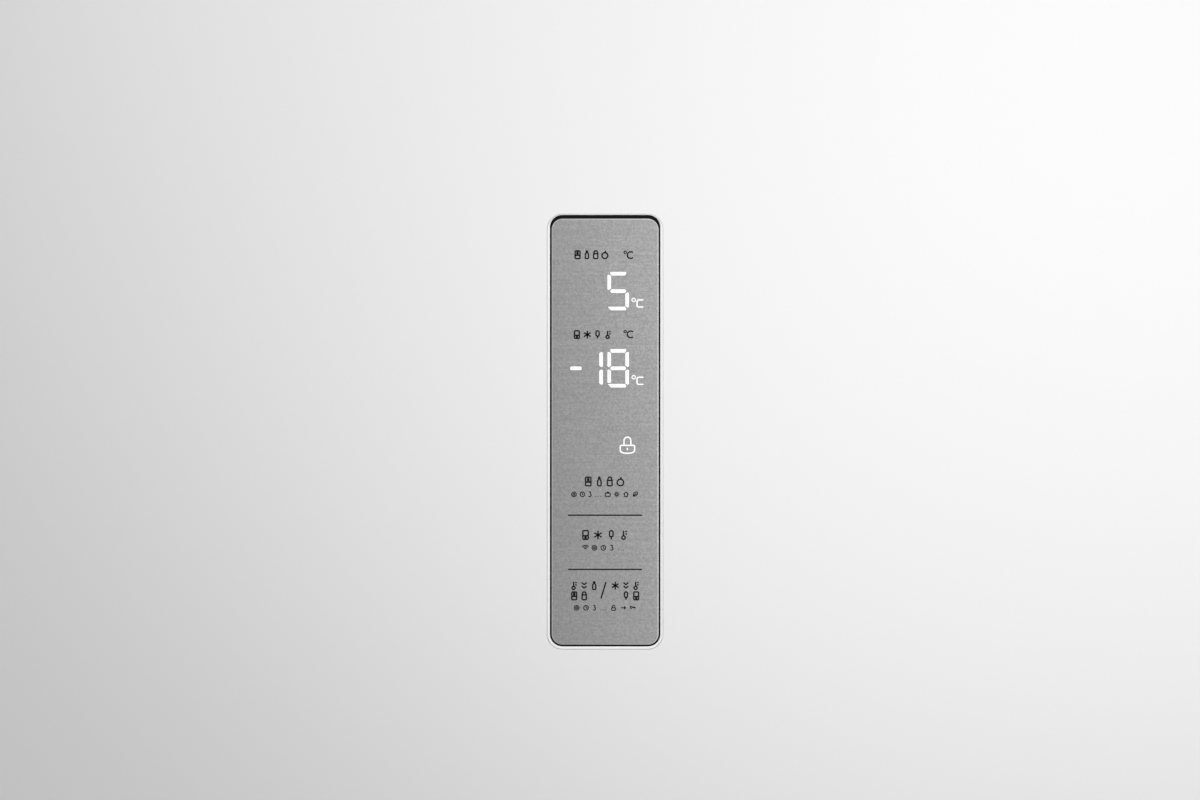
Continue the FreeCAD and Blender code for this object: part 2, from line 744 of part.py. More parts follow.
def top_hinge_cover():
    y0, y1 = HINGE_Y - HINGE_COVER_NOSE, Y_CABINET + HINGE_COVER_REAR
    x0 = HINGE_X - HINGE_COVER_REACH
    corner = HINGE_COVER_CORNER
    wall = HINGE_COVER_WALL
    cover = soft_box("z", x0, HALF, y0, y1, Z_TOP, HEIGHT, corner)
    cover = cover.makeFillet(HINGE_COVER_EDGE, edges_at(cover, "Z", HEIGHT))
    room = soft_box(
        "z", x0 + wall, HALF - wall, y0 + wall, y1 - wall, Z_TOP - 1, HEIGHT - wall, corner - wall
    )
    room = room.makeFillet(HINGE_COVER_INNER_EDGE, edges_at(room, "Z", HEIGHT - wall))
    return cover.cut(room)


def middle_hinge():
    half = HINGE_PLATE / 2
    plate = soft_box(
        "z", HINGE_X - BRACKET_REACH, HALF - HINGE_SIDE_GAP, HINGE_Y - HINGE_NOSE, Y_CABINET,
        Z_SPLIT - half, Z_SPLIT + half, BRACKET_CORNER,
    )
    flange = block(
        HINGE_X - MIDDLE_FLANGE_REACH, HALF - HINGE_SIDE_GAP, FLANGE_FRONT, Y_CABINET,
        Z_SPLIT - HINGE_FLANGE_HEIGHT / 2, Z_SPLIT + HINGE_FLANGE_HEIGHT / 2,
    )
    axis = V(HINGE_X, HINGE_Y, 0)
    pin_low, pin_high = FREEZER_DOOR_TOP - PIN_DEPTH, FRIDGE_DOOR_LOW + PIN_DEPTH
    pin = rod(PIN_RADIUS, axis + V(0, 0, pin_low), axis + V(0, 0, pin_high))
    collar = rod(COLLAR_RADIUS, axis + V(0, 0, Z_SPLIT), axis + V(0, 0, FRIDGE_DOOR_LOW - SLIDE_GAP))
    return union([plate, flange, pin, collar]).cut(screw_holes(MIDDLE_SCREWS))


def bottom_hinge():
    plate = soft_box(
        "z", HINGE_X - BRACKET_REACH, HALF - HINGE_SIDE_GAP, HINGE_Y - HINGE_NOSE, Y_CABINET,
        BOTTOM_PLATE_TOP - HINGE_PLATE, BOTTOM_PLATE_TOP, BRACKET_CORNER,
    )
    flange = block(
        HINGE_X - BOTTOM_FLANGE_REACH, HALF - HINGE_SIDE_GAP, FLANGE_FRONT, Y_CABINET,
        LEG_HEIGHT, BOTTOM_PLATE_TOP,
    )
    axis = V(HINGE_X, HINGE_Y, 0)
    pin = rod(PIN_RADIUS, axis + V(0, 0, BOTTOM_PLATE_TOP - 1), axis + V(0, 0, DOOR_LOW + PIN_DEPTH))
    collar = rod(COLLAR_RADIUS, axis + V(0, 0, BOTTOM_PLATE_TOP - 1), axis + V(0, 0, DOOR_LOW - SLIDE_GAP))
    return union([plate, flange, pin, collar]).cut(screw_holes(BOTTOM_SCREWS))


def hinge_screws():
    return group([screw(seat, way) for seat, way in ALL_SCREWS])


def kick_plate():
    x0, x1 = -HALF + KICK_GAP, HINGE_X - BOTTOM_FLANGE_REACH - KICK_GAP
    y0 = Y_CABINET - KICK_DEPTH
    z0, z1 = KICK_LOW, BOTTOM_PLATE_TOP
    wall = KICK_WALL
    plate = soft_box("x", y0, Y_CABINET, z0, z1, x0, x1, KICK_EDGE)
    room = block(x0 + wall, x1 - wall, y0 + wall, Y_CABINET + 1, z0 + wall, z1 - wall)
    slots = []
    half = KICK_SLOT / 2
    count = int((x1 - x0) / KICK_SLOT_PITCH) - 2
    start = (x0 + x1) / 2 - (count - 1) * KICK_SLOT_PITCH / 2
    for k in range(count):
        x = start + k * KICK_SLOT_PITCH
        slots.append(
            soft_box(
                "y", x - half, x + half, z0 + KICK_SLOT_MARGIN, z1 - KICK_SLOT_MARGIN,
                y0 - 1, y0 + wall + 1, KICK_SLOT * 0.48,
            )
        )
    return plate.cut(room).cut(Part.makeCompound(slots))


# Doors


def door_outline(inset):
    """Plan outline of a door, moved in by the inset."""
    side = HALF - inset
    return [
        (-side, Y_DOOR - inset, DOOR_BACK_RADIUS - inset), (-side, Y_FACE + inset, DOOR_RADIUS - inset),
        (side, Y_FACE + inset, DOOR_RADIUS - inset), (side, Y_DOOR - inset, DOOR_BACK_RADIUS - inset),
    ]


def liner_window(low, high, depth):
    """Part of the door back that the inner plastic wall fills."""
    side = HALF - SKIN_RETURN
    return block(-side, side, Y_DOOR - depth, Y_DOOR, low, high)


def panel_shape(grow, y0, y1):
    """Rounded upright rectangle of the touch panel, grown by a margin."""
    half_width = PANEL_WIDTH / 2 + grow
    half_height = PANEL_HEIGHT / 2 + grow
    z = PANEL_HEIGHT_ABOVE_FLOOR
    return soft_box(
        "y", -half_width, half_width, z - half_height, z + half_height, y0, y1, PANEL_RADIUS + grow
    )


def panel_mouth(grow, head, y):
    """Outline at one depth of the pocket for the plate, which is taller than the plate by its head room."""
    half_width = PANEL_WIDTH / 2 + grow
    half_height = PANEL_HEIGHT / 2 + grow
    low = PANEL_HEIGHT_ABOVE_FLOOR - half_height
    high = PANEL_HEIGHT_ABOVE_FLOOR + half_height + head
    corners = [V(-half_width, y, low), V(half_width, y, low), V(half_width, y, high), V(-half_width, y, high)]
    return rounded_path(corners, [PANEL_RADIUS + grow] * len(corners), True)


PANEL_OPENING = PANEL_GAP + RIM_WIDTH + SEAM


def door_skin(low, high):
    skin = prism("z", door_outline(0), low, high).cut(prism("z", door_outline(SHEET), low, high))
    return skin.cut(liner_window(low, high, SHEET))


def fridge_door_skin():
    skin = door_skin(FRIDGE_DOOR_LOW + GRIP_HEIGHT, FRIDGE_DOOR_TOP - CAP_HEIGHT)
    return skin.cut(panel_shape(PANEL_OPENING, Y_FACE - 1, Y_FACE + SHEET + 1))


def freezer_door_skin():
    return door_skin(DOOR_LOW + CAP_HEIGHT, FREEZER_DOOR_TOP - GRIP_HEIGHT)


def raised_frame(half_width, low, high, depth, inset):
    """Ridge around the back of a door, moved in by the inset on every side but the door's."""
    outer = half_width - inset
    inner = half_width - FRAME_WIDTH + inset
    end = Y_DOOR + depth - inset
    start = Y_DOOR - LINER
    ridge = soft_box("y", -outer, outer, low + inset, high - inset, start, end, 25.0 - inset)
    hole = soft_box(
        "y", -inner, inner, low + FRAME_WIDTH - inset, high - FRAME_WIDTH + inset,
        start, end + 1, 10.0 + inset,
    )
    ridge = ridge.cut(hole)
    return ridge.makeFillet(5.0 - inset, edges_at(ridge, "Y", end))


FRIDGE_LINER_LOW = FRIDGE_DOOR_LOW + GRIP_HEIGHT
FRIDGE_LINER_HIGH = FRIDGE_DOOR_TOP - CAP_HEIGHT
FREEZER_LINER_LOW = DOOR_LOW + CAP_HEIGHT
FREEZER_LINER_HIGH = FREEZER_DOOR_TOP - GRIP_HEIGHT
FRIDGE_FRAME_LOW = max(FRIDGE_FLOOR + FRAME_GAP, FRIDGE_LINER_LOW + 4)
FRIDGE_FRAME_HIGH = min(FRIDGE_CEILING - FRAME_GAP, FRIDGE_LINER_HIGH - 4)
FREEZER_FRAME_LOW = max(FREEZER_FLOOR + FRAME_GAP, FREEZER_LINER_LOW + 4)
FREEZER_FRAME_HIGH = min(FREEZER_CEILING - FRAME_GAP, FREEZER_LINER_HIGH - 4)


def fridge_frame(inset):
    return raised_frame(
        FRIDGE_X - FRAME_GAP, FRIDGE_FRAME_LOW, FRIDGE_FRAME_HIGH, FRIDGE_FRAME_DEPTH, inset
    )


def freezer_frame(inset):
    return raised_frame(
        FREEZER_X - FRAME_GAP, FREEZER_FRAME_LOW, FREEZER_FRAME_HIGH, FREEZER_FRAME_DEPTH, inset
    )


# Door bins: height of the floor of each, its height and its depth
BIN_ROOM_LOW = FRIDGE_FRAME_LOW + FRAME_WIDTH + 6
BIN_ROOM_PITCH = (FRIDGE_FRAME_HIGH - FRAME_WIDTH - BIN_ROOM_LOW) / 4
BINS = [
    (BIN_ROOM_LOW, BOTTLE_BIN_HEIGHT, BIN_DEPTH),
    (BIN_ROOM_LOW + BIN_ROOM_PITCH, BIN_HEIGHT, BIN_DEPTH),
    (BIN_ROOM_LOW + 2 * BIN_ROOM_PITCH, BIN_HEIGHT, BIN_DEPTH),
    (BIN_ROOM_LOW + 3 * BIN_ROOM_PITCH, BIN_HEIGHT, DAIRY_DEPTH),
]
LUG_FRONT = Y_DOOR + 16.0
LUG_BACK = Y_DOOR + 34.0
DAIRY_TOP = BINS[3][0] + BINS[3][1]
LID_PIVOT_Y = Y_DOOR + 9.0
LID_PIVOT_Z = DAIRY_TOP + LID_RISE


def bin_lug(side, low, gap):
    """Support lug of a bin, grown by a gap to make the slot in the bin."""
    outer = side * (BIN_X + gap + 1)
    inner = side * (BIN_X - LUG_OUT - gap)
    return block(
        min(outer, inner), max(outer, inner), LUG_FRONT - gap, LUG_BACK + gap, low, low + LUG_HEIGHT
    )


def fridge_door_liner():
    plate = liner_window(FRIDGE_LINER_LOW, FRIDGE_LINER_HIGH, LINER)
    liner = plate.fuse(fridge_frame(0)).cut(fridge_frame(LINER))
    lugs = []
    for low, height, depth in BINS:
        for side in (-1, 1):
            lugs.append(bin_lug(side, low + height / 3, 0))
    return union([liner] + lugs)


def freezer_door_liner():
    plate = liner_window(FREEZER_LINER_LOW, FREEZER_LINER_HIGH, LINER)
    return plate.fuse(freezer_frame(0)).cut(freezer_frame(LINER)).removeSplitter()


def door_foam(low, high, ridge):
    foam = prism("z", door_outline(SHEET), low, high)
    return foam.cut(liner_window(low, high, LINER)).fuse(ridge).removeSplitter()


def fridge_door_insulation():
    foam = door_foam(FRIDGE_LINER_LOW, FRIDGE_LINER_HIGH, fridge_frame(LINER))
    return foam.cut(panel_shape(PANEL_OPENING, Y_FACE, Y_FACE + PANEL_BOX_DEPTH + SEAM))


def freezer_door_insulation():
    return door_foam(FREEZER_LINER_LOW, FREEZER_LINER_HIGH, freezer_frame(LINER))


def gasket(low, high):
    """Magnetic door seal: a foot on the door, a thinner bellows and a magnet strip by the cabinet."""

    def ring(edge, width, y0, y1):
        side = HALF - edge
        outer = soft_box("y", -side, side, low + edge, high - edge, y0, y1, 8.0)
        side -= width
        inner_low, inner_high = low + edge + width, high - edge - width
        return outer.cut(soft_box("y", -side, side, inner_low, inner_high, y0, y1, 3.0))

    end = Y_CABINET - SLIDE_GAP
    third = (end - Y_DOOR) / 3
    foot = ring(GASKET_INSET, GASKET_WIDTH, Y_DOOR, Y_DOOR + third)
    bellows = ring(GASKET_INSET + 4, GASKET_WIDTH - 8, Y_DOOR + third, Y_DOOR + 2 * third)
    magnet = ring(GASKET_INSET + 2, GASKET_WIDTH - 4, Y_DOOR + 2 * third, end)
    return union([foot, bellows, magnet])


def hinge_bore(low, high):
    return rod(PIN_RADIUS + PIN_GAP, V(HINGE_X, HINGE_Y, low), V(HINGE_X, HINGE_Y, high))


def door_cap(low, high, free_end, bore_low, bore_high):
    """End moulding of a door, rounded at its free end, with the bearing hole of the hinge pin."""
    cap = prism("z", door_outline(0), low, high)
    cap = cap.makeFillet(CAP_EDGE, edges_at(cap, "Z", free_end))
    return cap.cut(hinge_bore(bore_low, bore_high))


def grip_pocket(edge, inward):
    """Finger pocket behind the lip at a door edge; inward is +1 for a pocket that goes up."""
    back = Y_FACE + GRIP_LIP + GRIP_WIDTH
    lip = Y_FACE + GRIP_LIP
    entry = edge + inward * GRIP_ENTRY
    roof = edge + inward * GRIP_DEPTH
    outside = edge - inward
    below_round = edge + inward * (GRIP_ENTRY + 8)
    corners = [
        (Y_FACE - 1, outside, 0), (back, outside, 0), (back, roof, 8.0), (lip, roof, 8.0),
        (lip, entry, 4.0), (Y_FACE, entry, 6.0), (Y_FACE, below_round, 0), (Y_FACE - 1, below_round, 0),
    ]
    side = HALF - GRIP_END
    return prism("x", corners, -side, side)


def fridge_door_top_cap():
    top = FRIDGE_DOOR_TOP
    return door_cap(top - CAP_HEIGHT, top, top, top - PIN_DEPTH - SLIDE_GAP, top + 1)


def fridge_door_grip():
    low = FRIDGE_DOOR_LOW
    cap = door_cap(low, low + GRIP_HEIGHT, low, low - 1, low + PIN_DEPTH + SLIDE_GAP)
    return cap.cut(grip_pocket(low, 1))


def freezer_door_grip():
    top = FREEZER_DOOR_TOP
    cap = door_cap(top - GRIP_HEIGHT, top, top, top - PIN_DEPTH - SLIDE_GAP, top + 1)
    return cap.cut(grip_pocket(top, -1))


def freezer_door_bottom_cap():
    low = DOOR_LOW
    return door_cap(low, low + CAP_HEIGHT, low, low - 1, low + PIN_DEPTH + SLIDE_GAP)


def door_bins():
    bins = []
    for low, height, depth in BINS:
        shape = tub(
            -BIN_X + SLIDE_GAP, BIN_X - SLIDE_GAP, Y_DOOR + SLIDE_GAP, Y_DOOR + depth, low, low + height,
            MOULDING, BIN_END_WALL, 12.0, 7.0,
        )
        lug_low = low + height / 3
        for side in (-1, 1):
            slot = bin_lug(side, lug_low, SLIDE_GAP)
            slot = slot.fuse(slot.translated(V(0, 0, LUG_HEIGHT - height / 2)))
            shape = shape.cut(slot)
        bins.append(shape)
    ears = []
    for side in (-1, 1):
        a = side * (BIN_X - SLIDE_GAP)
        b = side * (BIN_X - SLIDE_GAP - BIN_END_WALL)
        z0, z1 = DAIRY_TOP - 15, LID_PIVOT_Z + 8
        ears.append(soft_box("x", LID_PIVOT_Y - 8, LID_PIVOT_Y + 8, z0, z1, min(a, b), max(a, b), 5.0))
    pivot = V(0, LID_PIVOT_Y, LID_PIVOT_Z)
    bore = rod(LID_PIN_RADIUS + PIN_GAP, pivot - V(BIN_X, 0, 0), pivot + V(BIN_X, 0, 0))
    bins[3] = union([bins[3]] + ears).cut(bore)
    return group(bins)


def dairy_lid():
    side = BIN_X - 2 * SLIDE_GAP - BIN_END_WALL
    front = Y_DOOR + DAIRY_DEPTH + SLIDE_GAP + MOULDING
    top = LID_PIVOT_Z + MOULDING
    corners = [
        (LID_PIVOT_Y - 5, LID_PIVOT_Z - 3, 1.0), (LID_PIVOT_Y - 5, top, 3.0), (front, top, 8.0),
        (front, DAIRY_TOP - LID_DROP, 1.0), (front - MOULDING, DAIRY_TOP - LID_DROP, 1.0),
        (front - MOULDING, top - MOULDING, 5.0), (LID_PIVOT_Y + 6, top - MOULDING, 1.0),
        (LID_PIVOT_Y + 5, LID_PIVOT_Z - 3, 1.0),
    ]
    pivot = V(0, LID_PIVOT_Y, LID_PIVOT_Z)
    pins = rod(LID_PIN_RADIUS, pivot - V(BIN_X - 2, 0, 0), pivot + V(BIN_X - 2, 0, 0))
    return union([prism("x", corners, -side, side), pins])


# Touch panel


def panel_frame():
    box_end = Y_FACE + PANEL_BOX_DEPTH
    frame = panel_shape(PANEL_GAP + RIM_WIDTH, Y_FACE, box_end)
    frame = frame.makeFillet(RIM_EDGE, edges_at(frame, "Y", Y_FACE))
    mouth = panel_mouth(PANEL_GAP, PANEL_HEAD_GAP, Y_FACE)
    pocket = Part.Face(mouth).extrude(V(0, PLATE_BACK - Y_FACE, 0))
    # The rim slopes down to the plate at its sides and foot, and runs out upright at the head
    crest = panel_mouth(PANEL_GAP + RIM_SLOPE, PANEL_HEAD_GAP - RIM_SLOPE, Y_FACE)
    slope_foot = panel_mouth(PANEL_GAP, PANEL_HEAD_GAP, Y_FACE + RIM_SLOPE_DROP)
    slope = Part.makeLoft([crest, slope_foot], True, True)
    frame = frame.cut(pocket.fuse(slope))
    frame = frame.cut(panel_shape(-PANEL_LEDGE, PLATE_BACK - 1, box_end - PANEL_BOX_WALL))
    board_back = PLATE_BACK + BOARD_STANDOFF + BOARD
    posts = []
    for x in (-POST_X, POST_X):
        for z in (-POST_Z, POST_Z):
            foot = V(x, board_back, PANEL_HEIGHT_ABOVE_FLOOR + z)
            posts.append(rod(POST_RADIUS, foot, V(foot.x, box_end - PANEL_BOX_WALL / 2, foot.z)))
    return union([frame] + posts)


def segment_outlines():
    """Outlines of a digit's seven bars around its middle: a to f clockwise from the top, g across."""
    w, h, t = DIGIT_WIDTH / 2, DIGIT_HEIGHT / 2, SEGMENT
    tip = w - LEVEL_TIP
    head = h - UPRIGHT_TIP
    foot = t + FOOT_GAP - h
    top = [
        (TIP_OUTER - tip, h), (tip - TIP_OUTER, h), (tip, h - TIP_DEPTH), (tip - TIP_INNER, h - t),
        (TIP_INNER - tip, h - t), (-tip, h - TIP_DEPTH),
    ]
    side = [
        (w, head - TIP_OUTER), (w - TIP_DEPTH, head), (w - t, head - TIP_INNER),
        (w - t, MIDDLE_TIP + TIP_INNER), (w - TIP_DEPTH, MIDDLE_TIP), (w, MIDDLE_TIP + TIP_OUTER),
    ]
    across = [
        (-tip, 0), (TIP_INNER - tip, t / 2), (tip - TIP_INNER, t / 2), (tip, 0),
        (tip - TIP_INNER, -t / 2), (TIP_INNER - tip, -t / 2),
    ]
    bottom = [
        (t - w, -h), (-w, t - h), (tip - TIP_INNER, t - h), (tip, TIP_DEPTH - h), (tip - TIP_OUTER, -h),
    ]
    lower_left = [
        (-w, foot), (t - w, foot), (t - w, -MIDDLE_TIP - TIP_INNER), (TIP_DEPTH - w, -MIDDLE_TIP),
        (-w, -MIDDLE_TIP - TIP_OUTER),
    ]

    def turned(points, x_sign, z_sign):
        return [(x_sign * x, z_sign * z) for x, z in points]

    return {
        "a": top, "b": side, "c": turned(side, 1, -1), "d": bottom, "e": lower_left,
        "f": turned(side, -1, 1), "g": across,
    }


# Digits shown: place of the middle, and the bars that are lit
FRIDGE_DIGITS = [(DIGIT_X, FRIDGE_DIGIT_Z, "acdfg")]
FREEZER_DIGITS = [(DIGIT_X, FREEZER_DIGIT_Z, "abcdefg"), (ONE_X, FREEZER_DIGIT_Z, "bc")]


def lit_bars(digits, with_minus, y1):
    """Lit bars from the front of the plate back to y1."""
    outlines = segment_outlines()
    bars = []
    for x, z, lit in digits:
        z += PANEL_HEIGHT_ABOVE_FLOOR
        for letter in lit:
            corners = [(x + u, z + v, SEGMENT_ROUND) for u, v in outlines[letter]]
            bars.append(prism("y", corners, PLATE_FRONT, y1))
    if with_minus:
        z = PANEL_HEIGHT_ABOVE_FLOOR + FREEZER_DIGIT_Z
        half = SEGMENT / 2
        reach = MINUS_LENGTH / 2
        x0, x1 = MINUS_X - reach, MINUS_X + reach
        bars.append(soft_box("y", x0, x1, z - half, z + half, PLATE_FRONT, y1, half * 0.9))
    return bars


def panel_face():
    plate = panel_shape(0, PLATE_FRONT, PLATE_BACK)
    plate = plate.makeChamfer(PANEL_BEVEL_DROP, PANEL_BEVEL, edges_at(plate, "Y", PLATE_FRONT))
    slots = lit_bars(FRIDGE_DIGITS, False, PLATE_BACK) + lit_bars(FREEZER_DIGITS, True, PLATE_BACK)
    return plate.cut(Part.makeCompound(slots))


def guide_block(x, z, half_width, half_height, y0, y1):
    """Block behind the plate, placed from the middle of the plate."""
    z += PANEL_HEIGHT_ABOVE_FLOOR
    return block(x - half_width, x + half_width, y0, y1, z - half_height, z + half_height)


def light_guides():
    """Clear strips behind the plate whose raised bars fill its slots, one strip for each number."""
    end = PLATE_BACK + GUIDE_BASE
    guides = []
    for digits, with_minus in ((FRIDGE_DIGITS, False), (FREEZER_DIGITS, True)):
        base = guide_block(0, digits[0][1], GUIDE_HALF_WIDTH, GUIDE_HALF_HEIGHT, PLATE_BACK, end)
        guides.append(union([base] + lit_bars(digits, with_minus, end)))
    return group(guides)


def panel_board():
    front = PLATE_BACK + BOARD_STANDOFF
    board = panel_shape(-PANEL_LEDGE - SLIDE_GAP, front, front + BOARD)
    sunk = front + BOARD / 2
    lights = []
    for z in (FRIDGE_DIGIT_Z, FREEZER_DIGIT_Z):
        lights.append(guide_block(0, z, GUIDE_HALF_WIDTH, GUIDE_HALF_HEIGHT, PLATE_BACK + GUIDE_BASE, sunk))
    half = LOCK_LIGHT_HALF
    lights.append(guide_block(LOCK_LIGHT_X, LOCK_LIGHT_Z, half, half, PLATE_BACK, sunk))
    return union([board] + lights)


# Inside the cooling compartment


def shelf_levels():
    """Underside of the crisper cover and of each shelf above it."""
    return [COVER_LEVEL + k * SHELF_PITCH for k in range(SHELF_COUNT + 1)]


def shelf_glass(level):
    return block(-SHELF_X, SHELF_X, SHELF_FRONT + TRIM_WALL, SHELF_BACK, level, level + GLASS)


def glass_shelves():
    return group([shelf_glass(level) for level in shelf_levels()])


SLIDER_Y0 = SHELF_FRONT + TRIM_WALL
SLIDER_Y1 = SLIDER_Y0 + SLIDER_WIDTH


def shelf_trims():
    trims = []
    for k, level in enumerate(shelf_levels()):
        top = level + GLASS + TRIM_RISE
        front = soft_box(
            "x", SHELF_FRONT, SHELF_FRONT + TRIM_DEPTH, level - TRIM_DROP, top, -SHELF_X, SHELF_X, 2.5
        )
        front = front.cut(shelf_glass(level))
        if k == 0:
            front = front.cut(
                block(
                    -SLIDER_GROOVE_HALF, SLIDER_GROOVE_HALF, SLIDER_Y0, SLIDER_Y1,
                    top - SLIDER_GROOVE_DEPTH, top + 1,
                )
            )
        rear = block(-SHELF_X, SHELF_X, SHELF_BACK - 8, SHELF_BACK + 3, level, level + 18)
        trims.append(front)
        trims.append(rear.cut(shelf_glass(level)))
    return group(trims)


def humidity_slider():
    top = COVER_LEVEL + GLASS + TRIM_RISE
    y0, y1 = SLIDER_Y0 + SLIDE_GAP, SLIDER_Y1 - SLIDE_GAP
    low = top - SLIDER_GROOVE_DEPTH + SLIDE_GAP
    inset = 0.3 * SLIDER_WIDTH
    reach = SLIDER_RIDGE_HALF
    foot = block(-SLIDER_HALF, SLIDER_HALF, y0, y1, low, top + SLIDER_FOOT)
    ridge = soft_box("x", y0 + inset, y1 - inset, top + SLIDER_FOOT / 2, top + SLIDER_TOP, -reach, reach, 1.2)
    return union([foot, ridge])


def pull_hook(half_width, front, top):
    """Hooked finger lip along the top edge of a drawer front."""
    wall = MOULDING
    corners = [
        (front + HANDLE_OUT + wall / 2, top, 0), (front, top, 4.0), (front, top - HANDLE_DROP, 1.0),
        (front + wall, top - HANDLE_DROP, 1.0), (front + wall, top - wall, 2.0),
        (front + HANDLE_OUT + wall / 2, top - wall, 0),
    ]
    return prism("x", corners, -half_width, half_width)


def drawer(half_width, front, back, low, high):
    """Sliding tub with a finger lip in front."""
    body = tub(
        -half_width, half_width, front + HANDLE_OUT, back, low, high, MOULDING, MOULDING, 14.0, 8.0
    )
    return body.fuse(pull_hook(half_width - 20, front, high))


def crisper_drawer():
    back = SHELF_BACK - 2
    body = drawer(CRISPER_X, SHELF_FRONT, back, CRISPER_LOW, CRISPER_TOP)
    rims = []
    for side in (-1, 1):
        a, b = side * (CRISPER_X - MOULDING / 2), side * (CRISPER_X + CRISPER_RIM)
        y0, y1 = SHELF_FRONT + HANDLE_OUT + 16, back - 16
        rims.append(block(min(a, b), max(a, b), y0, y1, CRISPER_TOP - RIM_THICKNESS, CRISPER_TOP))
    return union([body] + rims)


def fridge_air_duct():
    front = CAVITY_BACK - DUCT_DEPTH
    low, high = FRIDGE_FLOOR + DUCT_END_ROOM, FRIDGE_CEILING - DUCT_END_ROOM
    side = DUCT_HALF_WIDTH
    duct = soft_box("y", -side, side, low, high, front, CAVITY_BACK, DUCT_CORNER)
    duct = duct.makeFillet(DUCT_EDGE, edges_at(duct, "Y", front))
    wall = MOULDING
    inner = side - wall
    duct = duct.cut(
        soft_box("y", -inner, inner, low + wall, high - wall, front + wall, CAVITY_BACK, DUCT_CORNER - wall)
    )
    slots = []
    reach = DUCT_SLOT_HALF_LENGTH
    for level in shelf_levels():
        for row in range(3):
            z = level + 0.55 * SHELF_PITCH + DUCT_SLOT_PITCH * row
            for x in (-DUCT_SLOT_X, DUCT_SLOT_X):
                slots.append(
                    soft_box(
                        "y", x - reach, x + reach, z, z + DUCT_SLOT, front - 1, front + wall + 1,
                        DUCT_SLOT * 0.48,
                    )
                )
    return duct.cut(Part.makeCompound(slots))


def ceiling_lamp():
    low = FRIDGE_CEILING - LAMP_DROP
    y0 = Y_CABINET + LAMP_SETBACK
    side = LAMP_HALF_WIDTH
    lens = soft_box("z", -side, side, y0, y0 + LAMP_LENGTH, low, FRIDGE_CEILING, LAMP_CORNER)
    return lens.makeFillet(LAMP_EDGE, edges_at(lens, "Z", low))


# Inside the freezer


def freezer_shelves():
    side = FREEZER_X - SHELF_SIDE_GAP
    front, back = DRAWER_FRONT + 4, DUCT_COVER_Y - 2
    return group(
        [block(-side, side, front, back, z, z + GLASS) for z in (FREEZER_SHELF_LOW, FREEZER_SHELF_HIGH)]
    )


def freezer_drawer(low, high, back):
    return drawer(DRAWER_X, DRAWER_FRONT, back, low + SLIDE_GAP, high - DRAWER_HEAD_GAP).removeSplitter()


def freezer_drawer_top():
    return freezer_drawer(FREEZER_SHELF_HIGH + GLASS, FREEZER_CEILING, DUCT_COVER_Y - 13)


def freezer_drawer_middle():
    return freezer_drawer(FREEZER_SHELF_LOW + GLASS, FREEZER_SHELF_HIGH, DUCT_COVER_Y - 13)


def freezer_drawer_bottom():
    return freezer_drawer(FREEZER_FLOOR, FREEZER_SHELF_LOW, STEP_FRONT - CAVITY_RADIUS - 2)


def freezer_duct_cover():
    side = FREEZER_X - SLIDE_GAP
    back = DUCT_COVER_Y + DUCT_COVER
    plate = block(-side, side, DUCT_COVER_Y, back, STEP_TOP, FREEZER_CEILING)
    slots = []
    for row in range(-3, 4):
        rise = row * FAN_SLOT_PITCH
        z = FAN_Z + rise
        reach = math.sqrt(FAN_RADIUS ** 2 - rise ** 2)
        half = FAN_SLOT / 2
        slots.append(
            soft_box("y", -reach, reach, z - half, z + half, DUCT_COVER_Y - 1, back + 1, half * 0.97)
        )
    for x in (-150.0, 150.0):
        for row in range(3):
            z = FREEZER_SHELF_HIGH - 60 + 14 * row
            slots.append(soft_box("y", x - 45, x + 45, z, z + 6, DUCT_COVER_Y - 1, back + 1, 2.9))
    return plate.cut(Part.makeCompound(slots))


EVAPORATOR_Y0 = DUCT_COVER_Y + DUCT_COVER + EVAPORATOR_FRONT_GAP
EVAPORATOR_Y1 = EVAPORATOR_Y0 + EVAPORATOR_DEPTH
EVAPORATOR_ROW = EVAPORATOR_HEIGHT / 8


def evaporator_fins():
    low, high = EVAPORATOR_LOW, EVAPORATOR_LOW + EVAPORATOR_HEIGHT
    side = EVAPORATOR_HALF_WIDTH
    fins = []
    count = int(2 * side / FIN_PITCH)
    for i in range(1, count):
        x = -side + i * 2 * side / count
        fins.append(block(x - FIN / 2, x + FIN / 2, EVAPORATOR_Y0, EVAPORATOR_Y1, low, high))
    for x in (-side, side):
        fins.append(block(x - FIN, x + FIN, EVAPORATOR_Y0, CAVITY_BACK, low, high))
    return group(fins)


def evaporator_tube():
    low = EVAPORATOR_LOW + EVAPORATOR_ROW / 2
    side = EVAPORATOR_HALF_WIDTH + EVAPORATOR_TUBE_OUT
    tubes = []
    for y in (EVAPORATOR_Y0 + EVAPORATOR_TUBE_INSET, EVAPORATOR_Y1 - EVAPORATOR_TUBE_INSET):
        points = []
        for row in range(8):
            z = low + row * EVAPORATOR_ROW
            ends = [V(-side, y, z), V(side, y, z)]
            if row % 2:
                ends.reverse()
            points.extend(ends)
        tubes.append(tube(points, EVAPORATOR_ROW / 2 - 0.2, EVAPORATOR_TUBE_RADIUS))
    return group(tubes)


